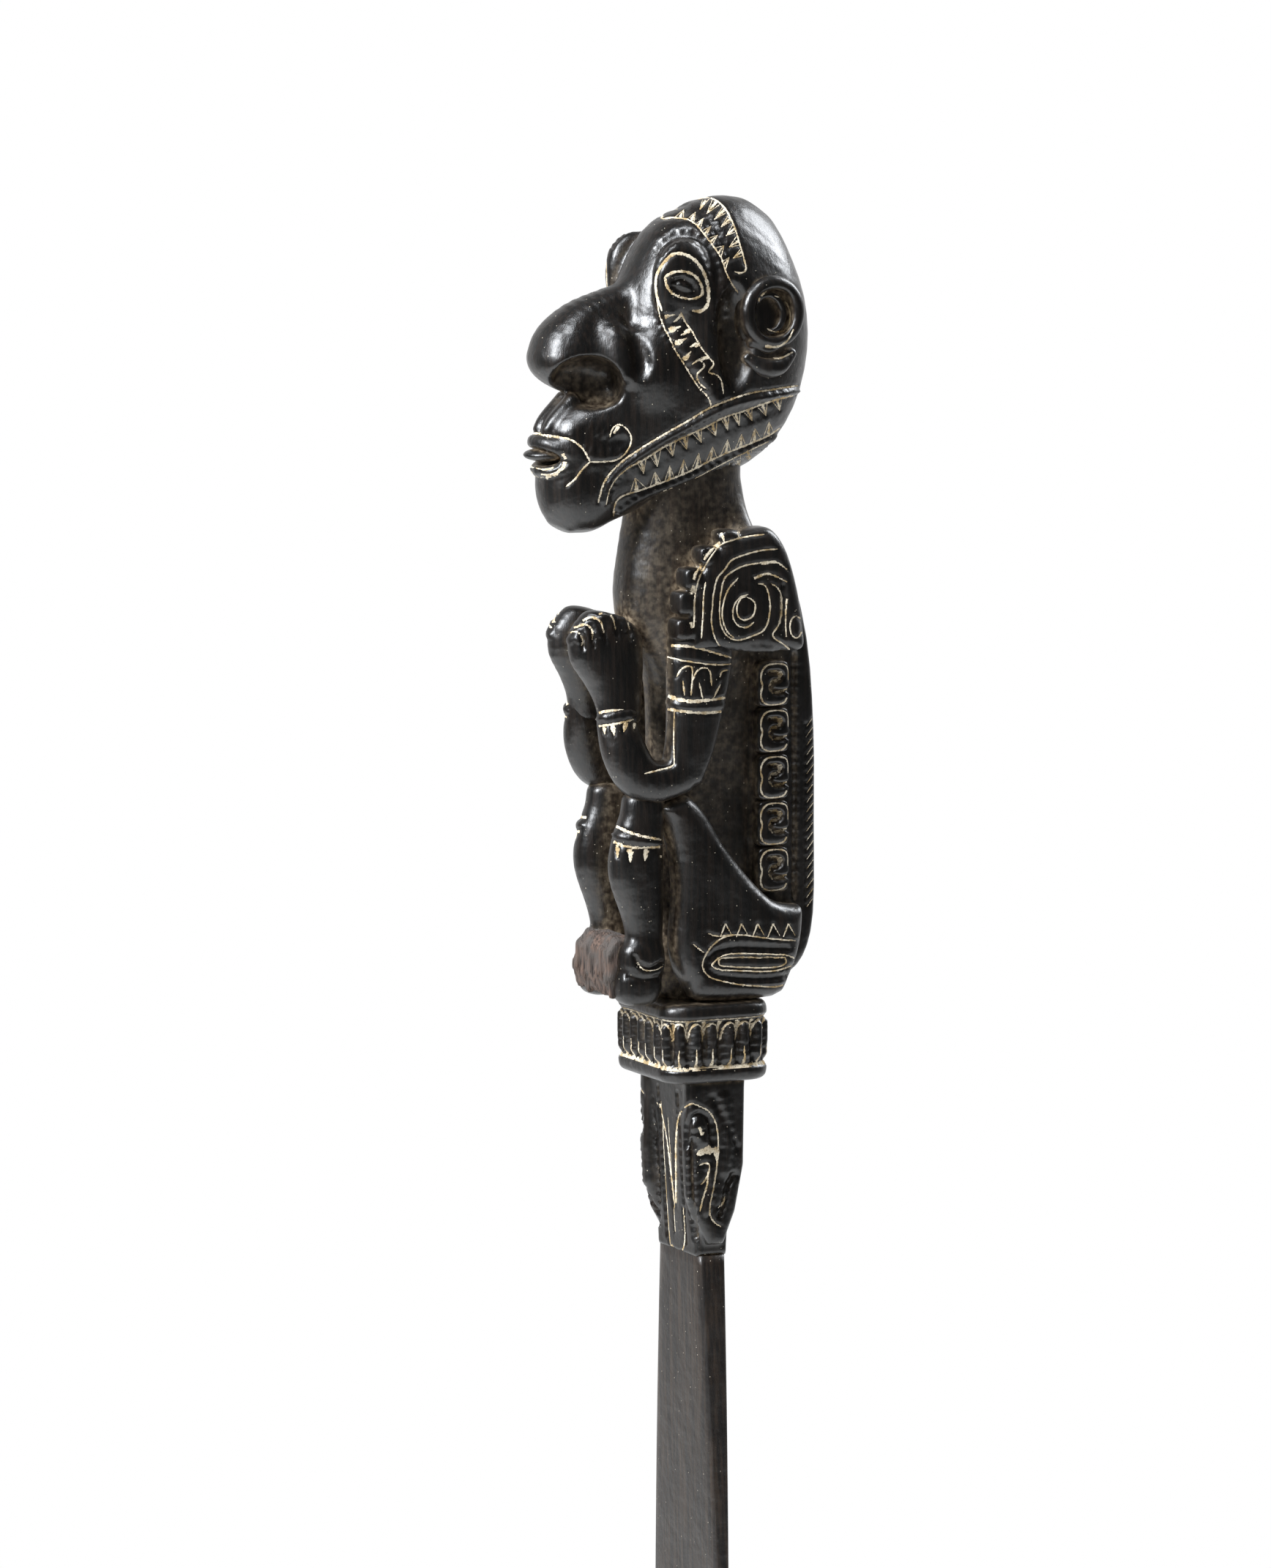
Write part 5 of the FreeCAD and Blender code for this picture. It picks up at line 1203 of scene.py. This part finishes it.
def drum(p):
    x, y, h = np.abs(p[:, 0]), np.abs(p[:, 1]), p[:, 2]
    reach_x, reach_y = x - (DRUM_WIDE - DRUM_CORNER), y - (DRUM_DEEP - DRUM_CORNER)
    plan = np.sqrt(np.maximum(reach_x, 0) ** 2 + np.maximum(reach_y, 0) ** 2) - DRUM_CORNER
    plan = plan + np.minimum(np.maximum(reach_x, reach_y), 0)
    rim = smooth_max(plan, np.abs(h + 6.0) - 6.0, 1.5)
    band = np.maximum(np.abs(h + 5.98) - 3.62, -(plan + 0.55))
    return smooth_max(rim, -band, 0.35)


# %% [markdown]
# The drum's paper is wrapped round it. Chance moves each tongue a little, as a hand would, and a fixed seed
# gives the same tongues on every run.

# %% The drum's tongues
wrap = WrapPaper(DRUM_WIDE, DRUM_DEEP, DRUM_CORNER)
tongues = 26
rng = np.random.default_rng(7)
DRUM_LINES, DRUM_RIDGES, DRUM_HOLLOWS = [], [], []
for k in range(tongues):
    middle = (k + 0.5) * wrap.length / tongues / MM_PER_PIXEL + rng.uniform(-1.5, 1.5)
    low, high = 84 + rng.uniform(-1, 1), 24 + rng.uniform(-1, 1)
    DRUM_RIDGES.append(((f"{middle} {high + 8}, {middle} {low - 10}", 1.2, 1.3), 0.75))
    DRUM_LINES.append(
        (f"{middle - 13} {high + 27}, {middle - 8} {high + 8}, {middle} {high + 2}, {middle + 8} {high + 7},"
         f" {middle + 12} {high + 24}", 0.22, 0.22)
    )
    DRUM_LINES.append((f"{middle + 12} {high - 1}, {middle + 12.5} {high + 15}", 0.5, 0.1))
    DRUM_LINES.append((f"{middle} {low + 3}, {middle + rng.uniform(-2, 2)} {low - 24}", 0.55, 0.08))
    DRUM_HOLLOWS.append(((f"{middle + 12.5} {high + 4}, {middle + 12.5} {low - 2}", 0.5, 0.3), 0.45))
# The two lines along the rims, in eight lengths
for k in range(8):
    start, end = (k * wrap.length / 8) / MM_PER_PIXEL, ((k + 1) * wrap.length / 8) / MM_PER_PIXEL
    DRUM_LINES.append((f"{start} 87, {(start + end) / 2} 88, {end} 87", 0.34, 0.34))
    DRUM_LINES.append((f"{start} 21, {(start + end) / 2} 21.5, {end} 21", 0.16, 0.16))
carve(
    "drum_form", drum, (-11, -9, -12.2), (11, 9, 0.2), ["drum"],
    [(wrap, DRUM_LINES, DRUM_RIDGES, DRUM_HOLLOWS)], ["drum_lime"]
)


# %% [markdown]
# Under the drum the wood narrows to the blade. A wing with a scroll stands on each side, and a smooth tongue
# runs down the front between them.

# %% Collar
def collar(p):
    stem = slab(p, [(-2.5, -39), (2.5, -39), (4.3, -12), (-4.3, -12)], -7.15, 7.15, 1.0)
    wing = slab(
        p, [(4.8, -11.6), (-4.8, -11.6), (-4.9, -24), (-4.6, -29.5), (-3.2, -33.4), (-1.2, -37), (1.2, -37),
            (3.2, -32), (4.6, -25)], 6.0, 9.05, 1.3
    )
    return smooth_min(stem, wing, 0.6)


front = FlatPaper((0, 1, 0), (1, 0, 0))
COLLAR_LINES = [
    "923 1650, 923 1600, 923 1560, 926 1530, 933 1515, 945 1508, 957 1512, 968 1518, 976 1530, 980 1545,"
    " 981 1570, 979 1595, 975 1620, 970 1645, 970 1660, 976 1670, 985 1676",
    ("955 1540, 959 1551", 0.7, 0.7), ("952 1578, 962 1573, 982 1570", 0.5, 0.9),
    ("978 1574, 979 1586", 0.6, 0.15),
    "955 1592, 963 1589, 969 1592, 967 1605, 961 1615, 957 1618",
    "967 1600, 966 1618, 960 1638, 956 1655", "981 1650, 988 1642, 990 1634",
]
COLLAR_HOLLOWS = [
    (("945 1560, 944 1600, 946 1650, 950 1690", 0.9, 0.6), 0.9),
    (("1003 1606, 994 1622, 990 1645, 984 1662", 0.8, 0.5), 0.7),
    (("938 1566, 941 1534, 955 1521, 969 1531, 973 1560", 0.7, 0.6), 0.5),
    (("975 1500, 990 1530, 1008 1570", 1.0, 0.6), 0.25),
]
COLLAR_RIDGES = [
    (("955 1540, 960 1560", 1.5, 1.4), 0.6), (("990 1500, 996 1560, 990 1600", 1.2, 0.9), 0.3),
    (("968 1590, 972 1620, 964 1660", 0.8, 0.8), 0.35),
]
FRONT_LINES = [
    ("-26 150, -26 330, -16 352, 0 358, 16 352, 26 330, 26 290", 0.2, 0.2), ("-6 170, -5 330", 0.08, 0.14),
]
FRONT_HOLLOWS = [(("-31 130, -31 340", 0.5, 0.4), 0.5), (("31 130, 31 340", 0.5, 0.4), 0.5)]
carve(
    "collar_form", both(collar), (-9.4, -5.4, -39.5), (9.4, 5.4, -11),
    ["collar_stem", "left_collar_wing", "right_collar_wing"],
    [(photo, COLLAR_LINES, COLLAR_RIDGES, COLLAR_HOLLOWS), (front, FRONT_LINES, (), FRONT_HOLLOWS)]
)


# %% [markdown]
# A board runs down the back from the shoulders to the hips. It stands on a thinner wall, which leaves the
# deep flanks open behind the arms, and its back face is hatched in two rows.

# %% Back board
def board(p):
    spine = slab(
        p, eased([(13, 2.6), (16.4, 5.4), (18.2, 12.0), (18.3, 26), (18.2, 40), (17.0, 54), (13.6, 66.0),
                  (10, 67.4), (9.6, 36), (10, 3.0)]), -5.3, 5.3, 1.6
    )
    wall = slab(p, [(5.6, 1), (13.5, 1), (13.5, 67), (5.6, 67)], -4.4, 4.4, 0.5)
    return smooth_min(spine, wall, 0.4)


behind = FlatPaper((0, -1, 0), (1, 0, 0))
BOARD_HOLLOWS = [
    (("1085 890, 1085 1000, 1086 1100, 1085 1228", 0.5, 0.5), 0.9),
    (("1100 985, 1100 1240", 0.25, 0.25), 0.3),
]
# Nicks along the board's edge, then its hatching in two rows
BOARD_LINES = []
for k in range(20):
    down = 985 + k * 13
    BOARD_LINES.append((f"1102 {down + 7}, 1111 {down - 6}", 0.06, 0.1))
HATCH = []
for k in range(30):
    up = -(60 + k * 18)
    HATCH.append((f"-38 {up - 22}, -3 {up}", 0.13, 0.13))
    HATCH.append((f"38 {up - 22}, 3 {up}", 0.13, 0.13))
carve(
    "board_form", board, (-5.8, 4.6, -0.5), (5.8, 19.6, 70), ["back_board"],
    [(photo, BOARD_LINES, (), BOARD_HOLLOWS), (behind, HATCH, (), ())]
)


# %% [markdown]
# A block of wood joined the feet and carried the toes. It has split away along the grain, so its front is
# rough, in long splinters.

# %% Broken web between the feet
def web(p):
    block = slab(
        p, [(-15.6, 1.6), (-10.6, 0.4), (-9.4, 8.8), (-12.2, 10.2), (-14.8, 10.0), (-16.4, 8.2),
            (-16.6, 4.4)], -6.4, 5.6, 0.5
    )
    x, y, h = p.T
    split = 0.5 * np.sin(x * 2.3 + 0.4 * np.sin(h * 0.6)) + 0.35 * np.sin(x * 6.1 + h * 0.2)
    chips = 0.4 * np.sin(h * 1.3 + x * 0.8) * np.sin(y * 1.9)
    return block + 0.6 * (split + chips) * np.clip((-y - 12) / 3, 0.1, 1)


carve("broken_web", web, (-7, -19.6, 0), (7, -8, 12), ["foot_web"])
figure["broken_web"]["slot"] = "broken_wood"


# %% [markdown]
# Two parts of the spatula follow a rule: the chain repeats one link, and the blade follows an outline. Node
# trees suit both. A tree takes its sizes as inputs and gives back one mesh, which is then kept as it is.

# %% Shaping by nodes
def shaped(name, tree, inputs, slot, nodes):
    """A piece that a node tree makes: its sizes go in, and one plain mesh comes out."""
    maker = bpy.data.objects.new(f"{name}_maker", bpy.data.meshes.new(f"{name}_maker"))
    scene.collection.objects.link(maker)
    modifier = maker.modifiers.new("shape", "NODES")
    modifier.node_group = tree
    for socket in tree.interface.items_tree:
        if socket.name in inputs:
            modifier[socket.identifier] = inputs[socket.name]
    graph = bpy.context.evaluated_depsgraph_get()
    mesh = bpy.data.meshes.new_from_object(maker.evaluated_get(graph))
    bpy.data.objects.remove(maker)
    mesh.name = name
    return keep(name, mesh, nodes, slot)


# %% [markdown]
# Down each flank runs a chain of five links, cut in relief with a hooked slot in each. One link is
# carved here, as the other pieces are.

# %% One link
def link(p):
    return slab(
        p, eased([(7.9, -2.2), (8.8, -3.4), (12.3, -3.4), (13.2, -2.2), (13.2, 2.2), (12.3, 3.4), (8.8, 3.4),
                  (7.9, 2.2)]), 3.9, 6.5, 0.8
    )


flank = FlatPaper((-1, 0, 0), (0, 1, 0))
LINK_LINES = [
    ("116 20, 110 27, 98 29, 86 28, 78 22, 76 12, 78 2, 76 -10, 79 -21, 87 -27, 100 -28", 0.24, 0.2),
    ("118 8, 108 13, 98 12, 93 8, 93 -2, 104 -4, 108 -10, 104 -16, 90 -17", 0.26, 0.22),
    ("100 -28, 112 -26, 118 -18, 118 -4", 0.2, 0.2),
]
LINK_HOLLOWS = [
    (("122 10, 108 12, 98 11, 93 7, 93 -2, 104 -5, 107 -11, 102 -15, 90 -16", 0.55, 0.5), 1.3),
]
link_points, link_faces, link_lime = cut(
    link, (3.6, 7.6, -3.6), (6.6, 13.4, 3.6), [(flank, LINK_LINES, (), LINK_HOLLOWS)]
)
print("one link:", len(link_faces), "faces")

# %% [markdown]
# A small node tree repeats the link down a line. Chance takes up to three hundredths off a link's height,
# so that the five look cut by hand.

# %% Chains
LINKS, LINK_PITCH, TOP_LINK = 5, 7.05, 47.4
chain_tree = bpy.data.node_groups.new("chain", "GeometryNodeTree")
chain_tree.interface.new_socket("Geometry", in_out="OUTPUT", socket_type="NodeSocketGeometry")
for label, kind in (("Link", "Object"), ("Links", "Int"), ("Pitch", "Float"), ("Finish", "Material")):
    chain_tree.interface.new_socket(label, in_out="INPUT", socket_type=f"NodeSocket{kind}")
given = add(chain_tree, "NodeGroupInput").outputs
one = add(chain_tree, "GeometryNodeObjectInfo", {"Object": given["Link"]})
down = add(chain_tree, "ShaderNodeMath", {0: given["Pitch"], 1: -1.0}, operation="MULTIPLY")
step = add(chain_tree, "ShaderNodeCombineXYZ", {"Z": down})
line = add(chain_tree, "GeometryNodeMeshLine", {"Count": given["Links"], "Offset": step})
size = add(chain_tree, "FunctionNodeRandomValue", {2: 0.97, 3: 1.0, "Seed": 3}, data_type="FLOAT")
tall = add(chain_tree, "ShaderNodeCombineXYZ", {"X": 1.0, "Y": 1.0, "Z": size.outputs[1]})
set_out = add(
    chain_tree, "GeometryNodeInstanceOnPoints",
    {"Points": line, "Instance": one.outputs["Geometry"], "Scale": tall}
)
whole = add(chain_tree, "GeometryNodeRealizeInstances", {"Geometry": set_out})
dressed = add(chain_tree, "GeometryNodeSetMaterial", {"Geometry": whole, "Material": given["Finish"]})
add(chain_tree, "NodeGroupOutput", {"Geometry": dressed})
for side in PAIR:
    for part, (points, faces) in (("links", (link_points, link_faces)), ("lime_lines", link_lime)):
        if side == "right_":
            points, faces = turned(points, faces)
        mesh = bpy.data.meshes.new("one_link")
        mesh.from_pydata((points * MM).tolist(), [], [tuple(f) for f in faces])
        mesh.polygons.foreach_set("use_smooth", [part == "links"] * len(mesh.polygons))
        sample = bpy.data.objects.new("one_link", mesh)
        look, slot, nodes = lime_finish, "lime", ()
        if part == "links":
            look, slot, nodes = ebony, "ebony", [f"{side}spine_chain"]
        chain = shaped(
            f"{side}chain_{part}", chain_tree,
            {"Link": sample, "Links": LINKS, "Pitch": LINK_PITCH * MM, "Finish": look}, slot, nodes
        )
        for vertex in chain.data.vertices:
            vertex.co.z += (DRUM_TOP + TOP_LINK) * MM
        bpy.data.objects.remove(sample)


# %% [markdown]
# The blade is the part that scrapes lime from the gourd. Its outline follows a rule: a long bowed taper
# down from the collar, then half an oval at the tip. The node tree holds that rule, and its inputs are
# the blade's sizes.

# %% Blade
blade_tree = bpy.data.node_groups.new("blade", "GeometryNodeTree")
blade_tree.interface.new_socket("Geometry", in_out="OUTPUT", socket_type="NodeSocketGeometry")
for label in ("Length", "Neck Half", "Wide Half", "Tip", "Bow", "Neck Thick", "Thick", "Taper"):
    blade_tree.interface.new_socket(label, in_out="INPUT", socket_type="NodeSocketFloat")
blade_tree.interface.new_socket("Finish", in_out="INPUT", socket_type="NodeSocketMaterial")
sizes = add(blade_tree, "NodeGroupInput").outputs
sheet = add(
    blade_tree, "GeometryNodeMeshGrid", {"Size X": 1.0, "Size Y": 1.0, "Vertices X": 65, "Vertices Y": 221}
)
spot = add(blade_tree, "ShaderNodeSeparateXYZ", {0: add(blade_tree, "GeometryNodeInputPosition")})
turn = add(blade_tree, "ShaderNodeMath", {0: spot.outputs["X"], 1: math.tau}, operation="MULTIPLY")
rise = add(blade_tree, "ShaderNodeMath", {0: spot.outputs["Y"], 1: 0.5}, operation="ADD")
eased_rise = add(blade_tree, "ShaderNodeMath", {0: rise, 1: 1.6}, operation="POWER")
height = add(blade_tree, "ShaderNodeMath", {0: eased_rise, 1: sizes["Length"]}, operation="MULTIPLY")
up_side = add(blade_tree, "ShaderNodeMapRange", {"Value": height, 1: sizes["Tip"], 2: sizes["Length"]})
straight = add(
    blade_tree, "ShaderNodeMapRange",
    {"Value": up_side, 3: sizes["Wide Half"], 4: sizes["Neck Half"]}
)
rest = add(blade_tree, "ShaderNodeMath", {0: 1.0, 1: up_side}, operation="SUBTRACT")
hump = add(blade_tree, "ShaderNodeMath", {0: up_side, 1: rest}, operation="MULTIPLY")
bowed = add(blade_tree, "ShaderNodeMath", {0: hump, 1: sizes["Bow"]}, operation="MULTIPLY")
side_half = add(blade_tree, "ShaderNodeMath", {0: bowed, 1: 4.0, 2: straight}, operation="MULTIPLY_ADD")
in_tip = add(blade_tree, "ShaderNodeMapRange", {"Value": height, 1: 0.0, 2: sizes["Tip"], 3: 1.0, 4: 0.0})
squared = add(blade_tree, "ShaderNodeMath", {0: in_tip, 1: 2.0}, operation="POWER")
left_over = add(blade_tree, "ShaderNodeMath", {0: 1.0, 1: squared}, operation="SUBTRACT")
oval_share = add(blade_tree, "ShaderNodeMath", {0: left_over}, operation="SQRT")
half = add(blade_tree, "ShaderNodeMath", {0: side_half, 1: oval_share}, operation="MULTIPLY")
thick = add(
    blade_tree, "ShaderNodeMapRange",
    {"Value": height, 1: sizes["Taper"], 2: sizes["Length"], 3: sizes["Thick"], 4: sizes["Neck Thick"]}
)
closing = add(blade_tree, "ShaderNodeMapRange", {"Value": rise, 1: 0.9955, 2: 1.0, 3: 1.0, 4: 0.0})
# The section is a box with rounded corners, from a cosine across and a sine through the blade
section = {}
for axis, wave, reach, power, share in (("X", "COSINE", half, 0.42, 1.0), ("Y", "SINE", thick, 0.22, 0.5)):
    swing = add(blade_tree, "ShaderNodeMath", {0: turn}, operation=wave)
    size = add(blade_tree, "ShaderNodeMath", {0: swing}, operation="ABSOLUTE")
    sign = add(blade_tree, "ShaderNodeMath", {0: swing}, operation="SIGN")
    flat = add(blade_tree, "ShaderNodeMath", {0: size, 1: power}, operation="POWER")
    signed = add(blade_tree, "ShaderNodeMath", {0: flat, 1: sign}, operation="MULTIPLY")
    scaled = add(blade_tree, "ShaderNodeMath", {0: signed, 1: reach}, operation="MULTIPLY")
    shared = add(blade_tree, "ShaderNodeMath", {0: scaled, 1: share}, operation="MULTIPLY")
    section[axis] = add(blade_tree, "ShaderNodeMath", {0: shared, 1: closing}, operation="MULTIPLY")
place_at = add(blade_tree, "ShaderNodeCombineXYZ", {**section, "Z": height})
bent = add(blade_tree, "GeometryNodeSetPosition", {"Geometry": sheet, "Position": place_at})
joined = add(blade_tree, "GeometryNodeMergeByDistance", {"Geometry": bent, "Distance": 0.00002})
smooth = add(blade_tree, "GeometryNodeSetShadeSmooth", {"Geometry": joined})
dressed = add(blade_tree, "GeometryNodeSetMaterial", {"Geometry": smooth, "Material": sizes["Finish"]})
add(blade_tree, "NodeGroupOutput", {"Geometry": dressed})
BLADE = {
    "Length": 0.2015, "Neck Half": 0.00715, "Wide Half": 0.012, "Tip": 0.04, "Bow": 0.00294,
    "Neck Thick": 0.005, "Thick": 0.0022, "Taper": 0.145, "Finish": blade_ebony,
}
shaped("blade_form", blade_tree, BLADE, "ebony", ["blade"])

# %% [markdown]
# The wood, the lime and the torn wood each go on their own pieces. The node-made pieces bring theirs along.

# %% Put the finishes on
finishes = {"ebony": ebony, "lime": lime_finish, "broken_wood": torn_finish}
figure["trunk"].data.materials.append(dusty_ebony)
for piece in figure.values():
    if not piece.data.materials:
        piece.data.materials.append(finishes[piece["slot"]])
print("pieces:", len(figure))

# %% [markdown]
# A round sheet of white paper lies under the blade's tip and takes the shadow. It ends before it comes into
# the photograph's frame, which shows only the white behind it.

# %% Floor
FLOOR_RADIUS, FLOOR_SIDES = 0.62, 96
disc = bpy.data.meshes.new("pale_floor")
turns = [k * math.tau / FLOOR_SIDES for k in range(FLOOR_SIDES)]
edge = [(FLOOR_RADIUS * math.cos(t), FLOOR_RADIUS * math.sin(t), 0.0) for t in turns]
disc.from_pydata(edge, [], [tuple(range(FLOOR_SIDES))])
floor = bpy.data.objects.new("pale_floor", disc)
scene.collection.objects.link(floor)
# Matt paper: plain white, with a faint unevenness that keeps the shadow soft to the eye
paper_sheet, tree, shader, at = finish("white_paper_sheet")
pulp = add(tree, "ShaderNodeTexNoise", {"Vector": at, "Scale": 0.4, "Detail": 3.0})
tone = add(tree, "ShaderNodeMix", {0: pulp, 6: linear("#F4F3F0"), 7: linear("#ECEBE8")}, data_type="RGBA")
tree.links.new(tone.outputs[2], shader.inputs["Base Color"])
shader.inputs["Roughness"].default_value = 0.8
disc.materials.append(paper_sheet)
